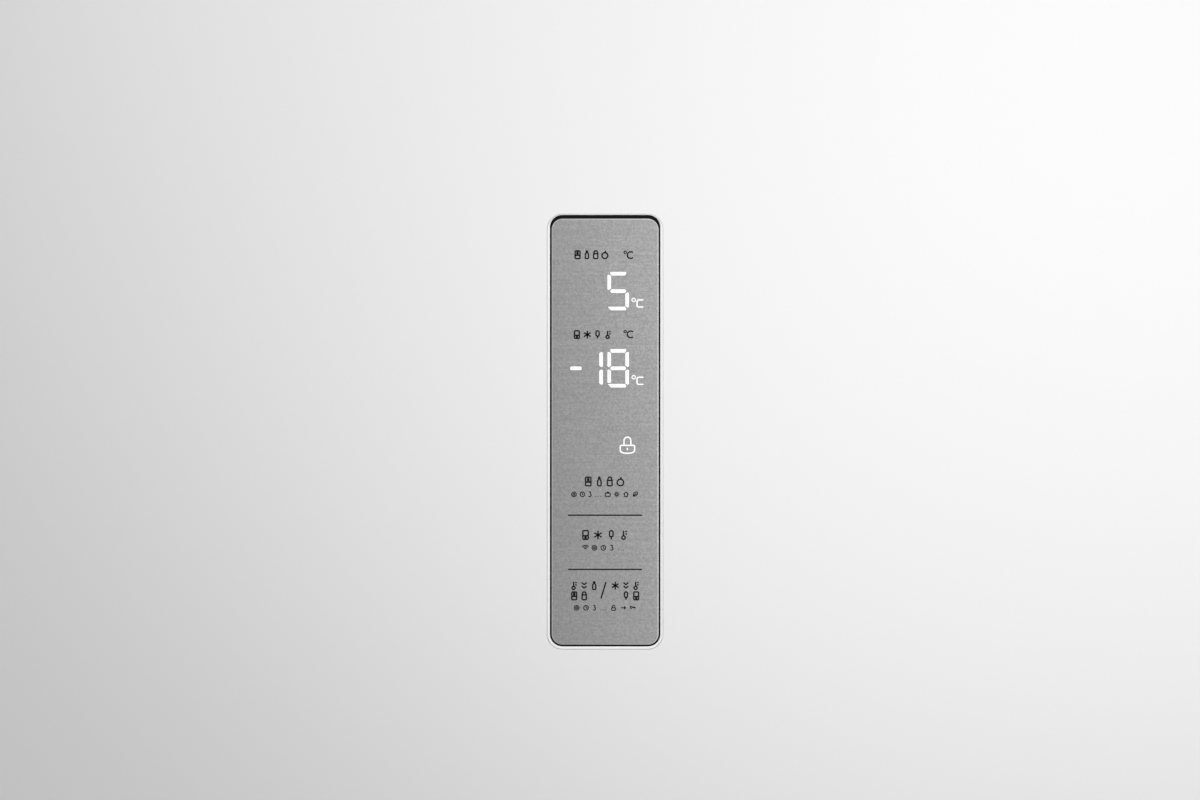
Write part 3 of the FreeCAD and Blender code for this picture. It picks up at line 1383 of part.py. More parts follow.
def fan_motor():
    ring_inner = FAN_RADIUS + FAN_RING_GAP
    start = DUCT_COVER_Y + DUCT_COVER
    arm_y = FAN_Y + FAN_DEPTH + FAN_ARM_GAP
    arm_end = arm_y + FAN_ARM
    motor_end = arm_y + MOTOR_LENGTH
    centre = V(0, 0, FAN_Z)
    ring = rod(FAN_RING_RADIUS, centre + V(0, start, 0), centre + V(0, arm_end, 0))
    ring = ring.cut(rod(ring_inner, centre + V(0, start - 1, 0), centre + V(0, arm_end + 1, 0)))
    motor = rod(MOTOR_RADIUS, centre + V(0, arm_y, 0), centre + V(0, motor_end, 0))
    motor = motor.makeFillet(MOTOR_EDGE, edges_at(motor, "Y", motor_end))
    shaft = rod(SHAFT_RADIUS, centre + V(0, FAN_Y - 1, 0), centre + V(0, arm_y + 1, 0))
    pieces = [ring, motor, shaft]
    for k in range(3):
        half = FAN_ARM_WIDTH / 2
        arm = block(MOTOR_RADIUS - 2, ring_inner + 1, arm_y, arm_end, FAN_Z - half, FAN_Z + half)
        arm.rotate(centre, V(0, 1, 0), 120 * k + 30)
        pieces.append(arm)
    return union(pieces)


def evaporator_fan():
    centre = V(0, 0, FAN_Z)
    hub = rod(FAN_HUB_RADIUS, centre + V(0, FAN_Y, 0), centre + V(0, FAN_Y + FAN_DEPTH, 0))
    pieces = [hub]
    room = rod(FAN_RADIUS, centre + V(0, FAN_Y, 0), centre + V(0, FAN_Y + FAN_DEPTH, 0))
    middle = FAN_Y + FAN_DEPTH / 2
    for k in range(FAN_BLADES):
        thick, chord = FAN_BLADE / 2, FAN_BLADE_CHORD / 2
        blade = block(
            FAN_HUB_RADIUS - 2, FAN_RADIUS + 3, middle - thick, middle + thick, FAN_Z - chord, FAN_Z + chord
        )
        blade.rotate(V(0, middle, FAN_Z), V(1, 0, 0), 28)
        blade = blade.common(room)
        blade.rotate(centre, V(0, 1, 0), 360.0 * k / FAN_BLADES)
        pieces.append(blade)
    bore = rod(SHAFT_RADIUS + PIN_GAP, centre + V(0, FAN_Y - 1, 0), centre + V(0, FAN_Y + FAN_DEPTH + 1, 0))
    return union(pieces).cut(bore)


# Machine niche and underside


def compressor_plate():
    side = HALF - SHEET
    rear = Y_REAR - 3
    pieces = [
        block(-side, side, NICHE_FRONT, rear, LEG_HEIGHT, PLATE_TOP),
        block(-side, side, rear - COMPRESSOR_PLATE, rear, LEG_HEIGHT, PLATE_TOP + 13),
    ]
    for x in (-ROLLER_X, ROLLER_X):
        inner = ROLLER_WIDTH / 2 + CHEEK_GAP
        for start in (x - inner - CHEEK, x + inner):
            half = CHEEK_HALF_WIDTH
            low = ROLLER_RADIUS - CHEEK_DROP
            cheek = prism(
                "x", [(ROLLER_Y - half, low, CHEEK_CORNER), (ROLLER_Y + half, low, CHEEK_CORNER),
                      (ROLLER_Y + half, LEG_HEIGHT, 0), (ROLLER_Y - half, LEG_HEIGHT, 0)],
                start, start + CHEEK,
            )
            pieces.append(cheek)
        reach = inner + 2 * CHEEK
        middle = V(x, ROLLER_Y, ROLLER_RADIUS)
        pieces.append(rod(AXLE_RADIUS, middle - V(reach, 0, 0), middle + V(reach, 0, 0)))
    return union(pieces)


def rear_rollers():
    rollers = []
    for x in (-ROLLER_X, ROLLER_X):
        start = V(x - ROLLER_WIDTH / 2, ROLLER_Y, ROLLER_RADIUS)
        end = V(x + ROLLER_WIDTH / 2, ROLLER_Y, ROLLER_RADIUS)
        wheel = rod(ROLLER_RADIUS, start, end)
        rims = [edge for edge in wheel.Edges if edge.Closed]
        wheel = wheel.makeFillet(2.0, rims)
        rollers.append(wheel.cut(rod(AXLE_RADIUS + PIN_GAP, start - V(1, 0, 0), end + V(1, 0, 0))))
    return group(rollers)


def foot(x):
    """Screw foot: round pad, six-sided nut and threaded stem."""
    centre = V(x, FOOT_Y, 0)
    pad = rod(FOOT_PAD_RADIUS, centre, centre + V(0, 0, FOOT_PAD))
    pad = pad.makeFillet(FOOT_PAD_EDGE, edges_at(pad, "Z", FOOT_PAD))
    corners = []
    for k in range(6):
        angle = math.radians(60 * k)
        radius = FOOT_NUT_RADIUS
        corners.append((x + radius * math.cos(angle), FOOT_Y + radius * math.sin(angle), 0))
    nut = prism("z", corners, FOOT_PAD - 1, CHANNEL_LOW - SLIDE_GAP)
    stem = rod(FOOT_STEM_RADIUS, centre + V(0, 0, FOOT_PAD), centre + V(0, 0, LEG_HEIGHT - 2))
    return union([pad, nut, stem])


def compressor():
    x, y = COMPRESSOR_X, COMPRESSOR_Y
    low = COMPRESSOR_LOW + FOOT_PLATE
    half_length, half_depth = COMPRESSOR_HALF_LENGTH, COMPRESSOR_HALF_DEPTH
    body = soft_box(
        "z", x - half_length, x + half_length, y - half_depth, y + half_depth,
        low, COMPRESSOR_TOP, half_depth - 6,
    )
    body = body.makeFillet(COMPRESSOR_TOP_ROUND, edges_at(body, "Z", COMPRESSOR_TOP))
    body = body.makeFillet(COMPRESSOR_LOW_ROUND, edges_at(body, "Z", low))
    out = COMPRESSOR_SEAM_OUT
    weld = soft_box(
        "z", x - half_length - out, x + half_length + out, y - half_depth - out, y + half_depth + out,
        low + COMPRESSOR_SEAM_LOW, low + COMPRESSOR_SEAM_HIGH, half_depth - 6 + out,
    )
    plate_x, plate_y = GROMMET_X + FOOT_PLATE_MARGIN, GROMMET_Y + FOOT_PLATE_MARGIN
    plate = soft_box("z", x - plate_x, x + plate_x, y - plate_y, y + plate_y, COMPRESSOR_LOW, low, 10.0)
    return union([body, weld, plate])


def compressor_grommets():
    grommets = []
    for x in (COMPRESSOR_X - GROMMET_X, COMPRESSOR_X + GROMMET_X):
        for y in (COMPRESSOR_Y - GROMMET_Y, COMPRESSOR_Y + GROMMET_Y):
            grommets.append(rod(GROMMET_RADIUS, V(x, y, PLATE_TOP), V(x, y, COMPRESSOR_LOW)))
    return group(grommets)


def terminal_box():
    x = COMPRESSOR_X + COMPRESSOR_HALF_LENGTH
    low = COMPRESSOR_LOW + FOOT_PLATE + TERMINAL_LIFT
    side = TERMINAL_HALF_WIDTH
    end = x + TERMINAL_OUT
    box = soft_box("x", COMPRESSOR_Y - side, COMPRESSOR_Y + side, low, low + TERMINAL_HEIGHT, x, end, 6.0)
    return box.makeFillet(4.0, edges_at(box, "X", end))


def drip_tray():
    x, y = COMPRESSOR_X, COMPRESSOR_Y
    side = COMPRESSOR_HALF_LENGTH + DRIP_TRAY_SIDE_OUT
    half = COMPRESSOR_HALF_DEPTH - DRIP_TRAY_INSET
    return tub(
        x - side, x + side, y - half, y + half, COMPRESSOR_TOP, COMPRESSOR_TOP + DRIP_TRAY_HEIGHT,
        MOULDING, MOULDING, 16.0, 6.0,
    )


def refrigerant_pipes():
    start_x = COMPRESSOR_X - COMPRESSOR_HALF_LENGTH
    y = COMPRESSOR_Y
    low = COMPRESSOR_LOW + FOOT_PLATE
    wall = -HALF + SHEET
    drier_x, drier_y = start_x - DRIER_OUT, y + DRIER_BACK
    drier_low = low + DRIER_LIFT
    drier_top = drier_low + DRIER_LENGTH
    suction_x, suction_z = start_x - SUCTION_OUT, low + SUCTION_LIFT
    suction = tube(
        [V(start_x, y, suction_z), V(suction_x, y, suction_z), V(suction_x, y, NICHE_TOP)],
        PIPE_BEND, PIPE_RADIUS,
    )
    out_x, out_y, out_z = start_x - DISCHARGE_OUT, y - DISCHARGE_FRONT, low + DISCHARGE_LIFT
    discharge = tube(
        [V(start_x, y, out_z), V(out_x, y, out_z), V(out_x, out_y, out_z), V(wall, out_y, out_z)],
        PIPE_BEND, PIPE_RADIUS,
    )
    liquid_z = low + LIQUID_LIFT
    liquid = tube(
        [V(wall, drier_y, liquid_z), V(drier_x, drier_y, liquid_z), V(drier_x, drier_y, drier_low)],
        LIQUID_BEND, PIPE_RADIUS,
    )
    drier = rod(DRIER_RADIUS, V(drier_x, drier_y, drier_low), V(drier_x, drier_y, drier_top))
    drier = drier.makeFillet(DRIER_RADIUS * 0.5, [edge for edge in drier.Edges if edge.Closed])
    rise_x, rise_z = start_x - CAPILLARY_OUT, drier_top + CAPILLARY_RISE
    capillary = tube(
        [V(drier_x, drier_y, drier_top), V(drier_x, drier_y, rise_z), V(rise_x, drier_y, rise_z),
         V(rise_x, drier_y, NICHE_TOP)],
        CAPILLARY_BEND, CAPILLARY_RADIUS,
    )
    return group([suction, discharge, liquid, drier, capillary])


def condenser_tube():
    x = HALF - SHEET - CONDENSER_RADIUS - CONDENSER_SKIN_GAP
    low, high = STEP_TOP + CONDENSER_LIFT, FRIDGE_CEILING - CONDENSER_DROP
    front, back = Y_CABINET + CONDENSER_SETBACK, CAVITY_BACK
    runs = 6
    pitch = (back - front) / (runs - 1)
    points = []
    for run in range(runs):
        ends = [V(0, front + run * pitch, low), V(0, front + run * pitch, high)]
        if run % 2:
            ends.reverse()
        points.extend(ends)
    tubes = []
    for side in (-1, 1):
        path = [point + V(side * x, 0, 0) for point in points]
        tubes.append(tube(path, CONDENSER_BEND, CONDENSER_RADIUS))
    return group(tubes)


def control_board_cover():
    high = Z_TOP - BOARD_COVER_DROP
    low = high - BOARD_COVER_HEIGHT
    side = BOARD_COVER_HALF_WIDTH
    end = Y_REAR + BOARD_COVER_DEPTH
    wall = MOULDING
    box = soft_box("y", -side, side, low, high, Y_REAR, end, BOARD_COVER_CORNER)
    box = box.makeFillet(BOARD_COVER_EDGE, edges_at(box, "Y", end))
    side -= wall
    room = soft_box(
        "y", -side, side, low + wall, high - wall, Y_REAR - 1, end - wall, BOARD_COVER_CORNER - wall
    )
    box = box.cut(room)
    slots = []
    for row in range(6):
        z = low + COVER_SLOT_LOW + COVER_SLOT_PITCH * row
        reach = COVER_SLOT_HALF_LENGTH
        slots.append(
            soft_box("y", -reach, reach, z, z + COVER_SLOT, end - 1.5 * wall, end + 1, COVER_SLOT * 0.48)
        )
    return box.cut(Part.makeCompound(slots))


def cord_inlet():
    x, z = HALF - INLET_INSET, NICHE_TOP + INLET_LIFT
    flange = soft_box(
        "y", x - INLET_HALF_WIDTH, x + INLET_HALF_WIDTH, z - INLET_HALF_HEIGHT, z + INLET_HALF_HEIGHT,
        Y_REAR, Y_REAR + INLET_FLANGE, INLET_CORNER,
    )
    end = Y_REAR + GLAND_LENGTH
    gland = rod(GLAND_RADIUS, V(x, Y_REAR + INLET_FLANGE / 2, z), V(x, end, z))
    gland = gland.makeFillet(GLAND_EDGE, edges_at(gland, "Y", end))
    return union([flange, gland])


NODES = {
    "cabinet_shell": cabinet_shell,
    "front_rails": front_rails,
    "rear_panel": rear_panel,
    "base_pan": base_pan,
    "cabinet_insulation": cabinet_insulation,
    "fridge_liner": fridge_liner,
    "freezer_liner": freezer_liner,
    "wall_spacers": wall_spacers,
    "top_hinge": top_hinge,
    "top_hinge_cover": top_hinge_cover,
    "middle_hinge": middle_hinge,
    "bottom_hinge": bottom_hinge,
    "hinge_screws": hinge_screws,
    "kick_plate": kick_plate,
    "fridge_door_skin": fridge_door_skin,
    "fridge_door_insulation": fridge_door_insulation,
    "fridge_door_liner": fridge_door_liner,
    "fridge_door_gasket": lambda: gasket(FRIDGE_DOOR_LOW, FRIDGE_DOOR_TOP),
    "fridge_door_top_cap": fridge_door_top_cap,
    "fridge_door_grip": fridge_door_grip,
    "door_bins": door_bins,
    "dairy_lid": dairy_lid,
    "panel_frame": panel_frame,
    "panel_face": panel_face,
    "light_guides": light_guides,
    "panel_board": panel_board,
    "freezer_door_skin": freezer_door_skin,
    "freezer_door_insulation": freezer_door_insulation,
    "freezer_door_liner": freezer_door_liner,
    "freezer_door_gasket": lambda: gasket(DOOR_LOW, FREEZER_DOOR_TOP),
    "freezer_door_grip": freezer_door_grip,
    "freezer_door_bottom_cap": freezer_door_bottom_cap,
    "glass_shelves": glass_shelves,
    "shelf_trims": shelf_trims,
    "humidity_slider": humidity_slider,
    "crisper_drawer": crisper_drawer,
    "fridge_air_duct": fridge_air_duct,
    "ceiling_lamp": ceiling_lamp,
    "freezer_shelves": freezer_shelves,
    "freezer_drawer_top": freezer_drawer_top,
    "freezer_drawer_middle": freezer_drawer_middle,
    "freezer_drawer_bottom": freezer_drawer_bottom,
    "freezer_duct_cover": freezer_duct_cover,
    "evaporator_fins": evaporator_fins,
    "evaporator_tube": evaporator_tube,
    "fan_motor": fan_motor,
    "evaporator_fan": evaporator_fan,
    "compressor_plate": compressor_plate,
    "rear_rollers": rear_rollers,
    "foot_left": lambda: foot(-FOOT_X),
    "foot_right": lambda: foot(FOOT_X),
    "compressor": compressor,
    "compressor_grommets": compressor_grommets,
    "terminal_box": terminal_box,
    "drip_tray": drip_tray,
    "refrigerant_pipes": refrigerant_pipes,
    "condenser_tube": condenser_tube,
    "control_board_cover": control_board_cover,
    "cord_inlet": cord_inlet,
}

os.makedirs("parts", exist_ok=True)
for name, make in NODES.items():
    shape = make()
    box = shape.BoundBox
    print(
        "%-24s solids %2d valid %s volume %10.1f cm3  x %.1f..%.1f  y %.1f..%.1f  z %.1f..%.1f"
        % (name, len(shape.Solids), shape.isValid(), shape.Volume / 1000, box.XMin, box.XMax,
           box.YMin, box.YMax, box.ZMin, box.ZMax)
    )
    shape.exportStep("parts/%s.step" % name)
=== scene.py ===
# %% [markdown]
# # A two-door refrigerator with a flush touch panel
# The refrigerator's solid pieces come packed from CAD. This lesson gives them their finishes, adds the fine
# pieces that CAD leaves out, and sets up the light and the camera. Everything is in metres, and every piece
# sits where the CAD model says, so nothing has to be fitted by eye.

import json
import math

import bmesh
import bpy
from mathutils import Matrix, Vector

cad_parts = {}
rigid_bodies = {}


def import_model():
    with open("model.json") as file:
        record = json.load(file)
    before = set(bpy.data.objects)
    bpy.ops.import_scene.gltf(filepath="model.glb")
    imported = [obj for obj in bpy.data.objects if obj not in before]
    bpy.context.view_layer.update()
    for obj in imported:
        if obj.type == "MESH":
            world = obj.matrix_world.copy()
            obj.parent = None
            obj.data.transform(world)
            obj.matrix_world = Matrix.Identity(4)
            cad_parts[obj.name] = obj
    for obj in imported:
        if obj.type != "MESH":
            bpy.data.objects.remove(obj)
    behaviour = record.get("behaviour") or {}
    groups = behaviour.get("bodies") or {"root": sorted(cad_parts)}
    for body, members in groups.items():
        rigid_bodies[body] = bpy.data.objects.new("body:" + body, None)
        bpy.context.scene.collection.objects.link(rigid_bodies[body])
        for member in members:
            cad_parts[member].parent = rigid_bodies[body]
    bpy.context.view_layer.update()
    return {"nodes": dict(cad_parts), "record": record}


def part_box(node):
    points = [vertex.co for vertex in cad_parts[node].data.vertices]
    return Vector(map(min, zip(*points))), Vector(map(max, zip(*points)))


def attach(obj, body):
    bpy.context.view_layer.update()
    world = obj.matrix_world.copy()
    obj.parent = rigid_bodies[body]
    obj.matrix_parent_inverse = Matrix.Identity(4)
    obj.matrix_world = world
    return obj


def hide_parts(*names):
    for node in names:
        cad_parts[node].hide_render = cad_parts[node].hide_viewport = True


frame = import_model()
nodes = frame["nodes"]
scene = bpy.context.scene
MM = 0.001

# %% [markdown]
# ## Helpers
# Light, finishes and small pieces are all made in the same few steps, so each step is a function.

# %% Helpers for node trees


def grey(level):
    return (level, level, level, 1)


def add(tree, kind, settings=None, **sockets):
    """Adds one node. A socket given as a value is set, and one given as an output is linked."""
    made = tree.nodes.new(kind)
    for label, value in (settings or {}).items():
        setattr(made, label, value)
    for label, value in sockets.items():
        socket = made.inputs[int(label[1:])] if label[1:].isdigit() else made.inputs[label.replace("_", " ")]
        if isinstance(value, bpy.types.NodeSocket):
            tree.links.new(value, socket)
        else:
            socket.default_value = value
    return made


def between(tree, value, low, high, new_low, new_high):
    """Stretches a value from one range to another."""
    limits = {"From_Min": low, "From_Max": high, "To_Min": new_low, "To_Max": new_high}
    return add(tree, "ShaderNodeMapRange", Value=value, **limits).outputs["Result"]


def sums(tree, operation, first, second):
    return add(tree, "ShaderNodeMath", {"operation": operation}, _0=first, _1=second).outputs[0]


def scaled(tree, colour, level):
    return add(tree, "ShaderNodeVectorMath", {"operation": "SCALE"}, _0=colour, Scale=level).outputs[0]


def blend(tree, share, first, second):
    """Mixes two colours. At a share of one only the second is seen."""
    return add(tree, "ShaderNodeMix", {"data_type": "RGBA"}, _0=share, _6=first, _7=second).outputs[2]


def position(tree):
    return add(tree, "ShaderNodeTexCoord").outputs["Object"]


def seen_directly(tree):
    """One for camera, mirror and glass rays, and zero for all others."""
    rays = add(tree, "ShaderNodeLightPath").outputs
    seen = sums(tree, "MAXIMUM", rays["Is Camera Ray"], rays["Is Glossy Ray"])
    return sums(tree, "MAXIMUM", seen, rays["Is Transmission Ray"])


# %% Helpers for meshes


def mesh_data(name, mesh):
    """Plain mesh data from a mesh under construction, which goes again."""
    data = bpy.data.meshes.new(name)
    mesh.to_mesh(data)
    mesh.free()
    return data


def mesh_object(name, mesh, material=None):
    """An object in the scene from such a mesh, with its faces turned outward."""
    bmesh.ops.recalc_face_normals(mesh, faces=mesh.faces)
    data = mesh_data(name, mesh)
    if material:
        data.materials.append(material)
    made = bpy.data.objects.new(name, data)
    scene.collection.objects.link(made)
    return made


def join_rows(mesh, near, far):
    """Joins two closed rows of points by faces."""
    for k in range(len(near)):
        after = (k + 1) % len(near)
        mesh.faces.new((near[k], near[after], far[after], far[k]))


# %% [markdown]
# ## Camera
# The photograph looks straight at the upper door from close by: the door fills the picture, and the touch
# panel stands near its middle. The camera is level, so the panel's upright edges stay upright. Its place
# follows from the size of one pixel on the door and from the pixel where the middle of the plate falls.

# %% Camera
PICTURE_PIXELS = (1200, 800)
PIXEL_ON_DOOR = 0.45 * MM
PLATE_MIDDLE_PIXEL = (605.1, 431.7)
LENS = 100.0
SENSOR = 36.0

plate_low, plate_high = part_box("panel_face")
plate_middle = (plate_low + plate_high) / 2
plate_front = plate_low.y
door_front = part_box("fridge_door_skin")[0].y

camera = bpy.data.objects.new("camera", bpy.data.cameras.new("camera"))
camera.data.lens = LENS
camera.data.sensor_width = SENSOR
camera.location = (
    plate_middle.x - (PLATE_MIDDLE_PIXEL[0] - PICTURE_PIXELS[0] / 2) * PIXEL_ON_DOOR,
    door_front - PICTURE_PIXELS[0] * PIXEL_ON_DOOR * LENS / SENSOR,
    plate_middle.z + (PLATE_MIDDLE_PIXEL[1] - PICTURE_PIXELS[1] / 2) * PIXEL_ON_DOOR,
)
camera.rotation_euler = (math.pi / 2, 0, 0)
scene.collection.objects.link(camera)
scene.camera = camera
print("camera at", [round(value, 4) for value in camera.location])

# %% [markdown]
# ## Light
# A white door shows its light by a slow change of grey. In the photograph the upper right of the door is
# almost white and the lower left is light grey. Two spots with a wide blend do this: one from above lights
# the door's head, and one from the right lights its right side. A third lifts the lower door, broad lamps
# light the top and the back, and the world fills the rest.
# Camera, mirror and glass rays see the world as plain white, so metal reflects a white room.

# %% Lamps and world
AMBIENT = 0.55
SPOT_RADIUS = 0.10
# Each spot has its place, its target, the angle of its cone in degrees and its power
SPOTS = {
    "upper_key": ((0.10, -2.40, 2.80), (0.05, -0.325, 1.66), 24.0, 84.0),
    "right_key": ((1.10, -1.90, 1.39), (0.32, -0.325, 1.42), 29.0, 40.0),
    "low_fill": ((-0.35, -2.60, 0.60), (0.0, -0.325, 0.42), 34.0, 30.0),
}
# Each broad lamp has its place, its target, its size and its power
BROAD_LAMPS = {
    "overhead": ((0.0, -0.2, 3.8), (0.0, 0.0, 0.9), 2.6, 12.0),
    "rear_left": ((-2.4, 2.0, 2.1), (0.0, 0.2, 0.9), 1.8, 24.0),
    "rear_right": ((2.4, 2.2, 2.3), (0.0, 0.2, 0.9), 1.8, 24.0),
}


def aim(lamp, place, target):
    lamp.location = place
    lamp.rotation_mode = "QUATERNION"
    lamp.rotation_quaternion = (Vector(target) - Vector(place)).to_track_quat("-Z", "Y")
    scene.collection.objects.link(lamp)


for name, (place, target, cone, power) in SPOTS.items():
    spot = bpy.data.objects.new(name, bpy.data.lights.new(name, "SPOT"))
    spot.data.energy = power
    spot.data.spot_size = math.radians(cone)
    spot.data.spot_blend = 1.0
    spot.data.shadow_soft_size = SPOT_RADIUS
    aim(spot, place, target)
for name, (place, target, size, power) in BROAD_LAMPS.items():
    broad = bpy.data.objects.new(name, bpy.data.lights.new(name, "AREA"))
    broad.data.size = size
    broad.data.energy = power
    aim(broad, place, target)

world = bpy.data.worlds.new("studio")
world.use_nodes = True
scene.world = world
sky = world.node_tree
sky.nodes.clear()
fill = add(sky, "ShaderNodeBackground", Color=grey(AMBIENT))
white = add(sky, "ShaderNodeBackground", Color=grey(1.0))
choice = add(sky, "ShaderNodeMixShader", _0=seen_directly(sky), _1=fill.outputs[0], _2=white.outputs[0])
add(sky, "ShaderNodeOutputWorld", Surface=choice.outputs[0])
scene.view_settings.view_transform = "Standard"
print("lamps:", [*SPOTS, *BROAD_LAMPS])

# %% [markdown]
# ## Shared surface effects
# No real surface is one flat colour: paint has a fine skin, rolled metal has streaks, and dust settles on
# what faces up. These effects return in many finishes, so each is a node group that is built once. Grain and
# dust read Object coordinates in metres, so the size of a pattern is a real size on the refrigerator.

# %% Start of a node group


def new_group(name, inputs, outputs):
    """Starts a shader node group, and returns its tree with its inputs and outputs."""
    tree = bpy.data.node_groups.new(name, "ShaderNodeTree")
    kinds = {"colour": "NodeSocketColor", "value": "NodeSocketFloat", "vector": "NodeSocketVector"}
    for side, sockets in (("INPUT", inputs), ("OUTPUT", outputs)):
        for label, kind in sockets.items():
            tree.interface.new_socket(label, in_out=side, socket_type=kinds[kind])
    return tree, tree.nodes.new("NodeGroupInput").outputs, tree.nodes.new("NodeGroupOutput").inputs


# %% Fine grain, for paint, plastic and brushed metal
GRAIN_LOW, GRAIN_HIGH = 0.32, 0.68
GRAIN_DETAIL, GRAIN_BREAK = 3.0, 0.6

fine_grain, given, made = new_group(
    "fine grain",
    {
        "Colour": "colour", "Grain Size": "vector", "Shade": "value", "Rough Low": "value",
        "Rough High": "value",
    },
    {"Colour": "colour", "Roughness": "value", "Height": "value"},
)
place = position(fine_grain)
divided = add(fine_grain, "ShaderNodeVectorMath", {"operation": "DIVIDE"}, _0=place, _1=given["Grain Size"])
noise = add(
    fine_grain, "ShaderNodeTexNoise", Vector=divided.outputs[0], Scale=1.0, Detail=GRAIN_DETAIL,
    Roughness=GRAIN_BREAK,
)
speck = noise.outputs["Fac"]
darker = sums(fine_grain, "SUBTRACT", 1.0, given["Shade"])
lighter = sums(fine_grain, "ADD", 1.0, given["Shade"])
swing = between(fine_grain, speck, GRAIN_LOW, GRAIN_HIGH, darker, lighter)
fine_grain.links.new(scaled(fine_grain, given["Colour"], swing), made["Colour"])
rough = between(fine_grain, speck, GRAIN_LOW, GRAIN_HIGH, given["Rough Low"], given["Rough High"])
fine_grain.links.new(rough, made["Roughness"])
fine_grain.links.new(speck, made["Height"])

# %% Settled dust, for black plastic, rubber and enamel
DUST_PATCH = 30 * MM
DUST_SLOPE = 0.35
PATCH_LOW, PATCH_HIGH, PATCH_THIN = 0.3, 0.7, 0.2
PATCH_DETAIL, PATCH_BREAK = 4.0, 0.7

settled_dust, given, made = new_group(
    "settled dust",
    {"Colour": "colour", "Dust Colour": "colour", "Amount": "value"},
    {"Colour": "colour"},
)
normal = add(settled_dust, "ShaderNodeNewGeometry").outputs["Normal"]
upward = add(settled_dust, "ShaderNodeSeparateXYZ", _0=normal)
facing_up = between(settled_dust, upward.outputs["Z"], DUST_SLOPE, 1.0, 0.0, given["Amount"])
patch = add(
    settled_dust, "ShaderNodeTexNoise", Vector=position(settled_dust), Scale=1 / DUST_PATCH,
    Detail=PATCH_DETAIL, Roughness=PATCH_BREAK,
)
patchy = between(settled_dust, patch.outputs["Fac"], PATCH_LOW, PATCH_HIGH, PATCH_THIN, 1.0)
cover = sums(settled_dust, "MULTIPLY", facing_up, patchy)
mixed = blend(settled_dust, cover, given["Colour"], given["Dust Colour"])
settled_dust.links.new(mixed, made["Colour"])

# %% Edges a little lighter than the faces, for metal and plastic
EDGE_SAMPLES = 4
EDGE_NONE, EDGE_FULL = 0.98, 0.85

lightened_edges, given, made = new_group(
    "lightened edges",
    {"Colour": "colour", "Edge Colour": "colour", "Edge Width": "value"},
    {"Colour": "colour"},
)
rounded = add(lightened_edges, "ShaderNodeBevel", {"samples": EDGE_SAMPLES}, Radius=given["Edge Width"])
flat = add(lightened_edges, "ShaderNodeNewGeometry").outputs["Normal"]
turned = add(
    lightened_edges, "ShaderNodeVectorMath", {"operation": "DOT_PRODUCT"}, _0=rounded.outputs[0], _1=flat,
)
near_edge = between(lightened_edges, turned.outputs["Value"], EDGE_NONE, EDGE_FULL, 0.0, 1.0)
mixed = blend(lightened_edges, near_edge, given["Colour"], given["Edge Colour"])
lightened_edges.links.new(mixed, made["Colour"])
for group in (fine_grain, settled_dust, lightened_edges):
    print("group:", group.name, "with", len(group.nodes), "nodes")

# %% [markdown]
# ## Painted, moulded and metal finishes
# Most finishes differ only in a few values: the colour, the size of the grain, how much the colour and the
# gloss swing, and how high the grain stands. One function makes them all from those values. What a finish has
# of its own, such as dust or lighter edges, is added by name.

# %% One function for the plain finishes
DUST = (0.42, 0.40, 0.37, 1)
EDGE_WIDTH = 0.6 * MM


def place_group(tree, group, **sockets):
    return add(tree, "ShaderNodeGroup", {"node_tree": group}, **sockets)


def finish(
    name, colour, grain, shade, rough, stretch=(1, 1, 1), metallic=0.0, bump=0.0, depth=0.2 * MM, dust=0.0,
    edge=None,
):
    """A finish with fine grain. Stretch draws the grain out, and bump and depth give it relief."""
    material = bpy.data.materials.new(name)
    material.use_nodes = True
    tree = material.node_tree
    skin = tree.nodes["Principled BSDF"]
    skin.inputs["Metallic"].default_value = metallic
    surface = place_group(
        tree, fine_grain, Colour=colour, Grain_Size=[grain * longer for longer in stretch], Shade=shade,
        Rough_Low=rough[0], Rough_High=rough[1],
    )
    shown = surface.outputs["Colour"]
    if edge:
        lightened = place_group(tree, lightened_edges, Colour=shown, Edge_Colour=edge, Edge_Width=EDGE_WIDTH)
        shown = lightened.outputs["Colour"]
    if dust:
        dusty = place_group(tree, settled_dust, Colour=shown, Dust_Colour=DUST, Amount=dust)
        shown = dusty.outputs["Colour"]
    tree.links.new(shown, skin.inputs["Base Color"])
    tree.links.new(surface.outputs["Roughness"], skin.inputs["Roughness"])
    if bump:
        relief = add(tree, "ShaderNodeBump", Strength=bump, Distance=depth, Height=surface.outputs["Height"])
        tree.links.new(relief.outputs[0], skin.inputs["Normal"])
    return material


def shader(material):
    return material.node_tree, material.node_tree.nodes["Principled BSDF"]


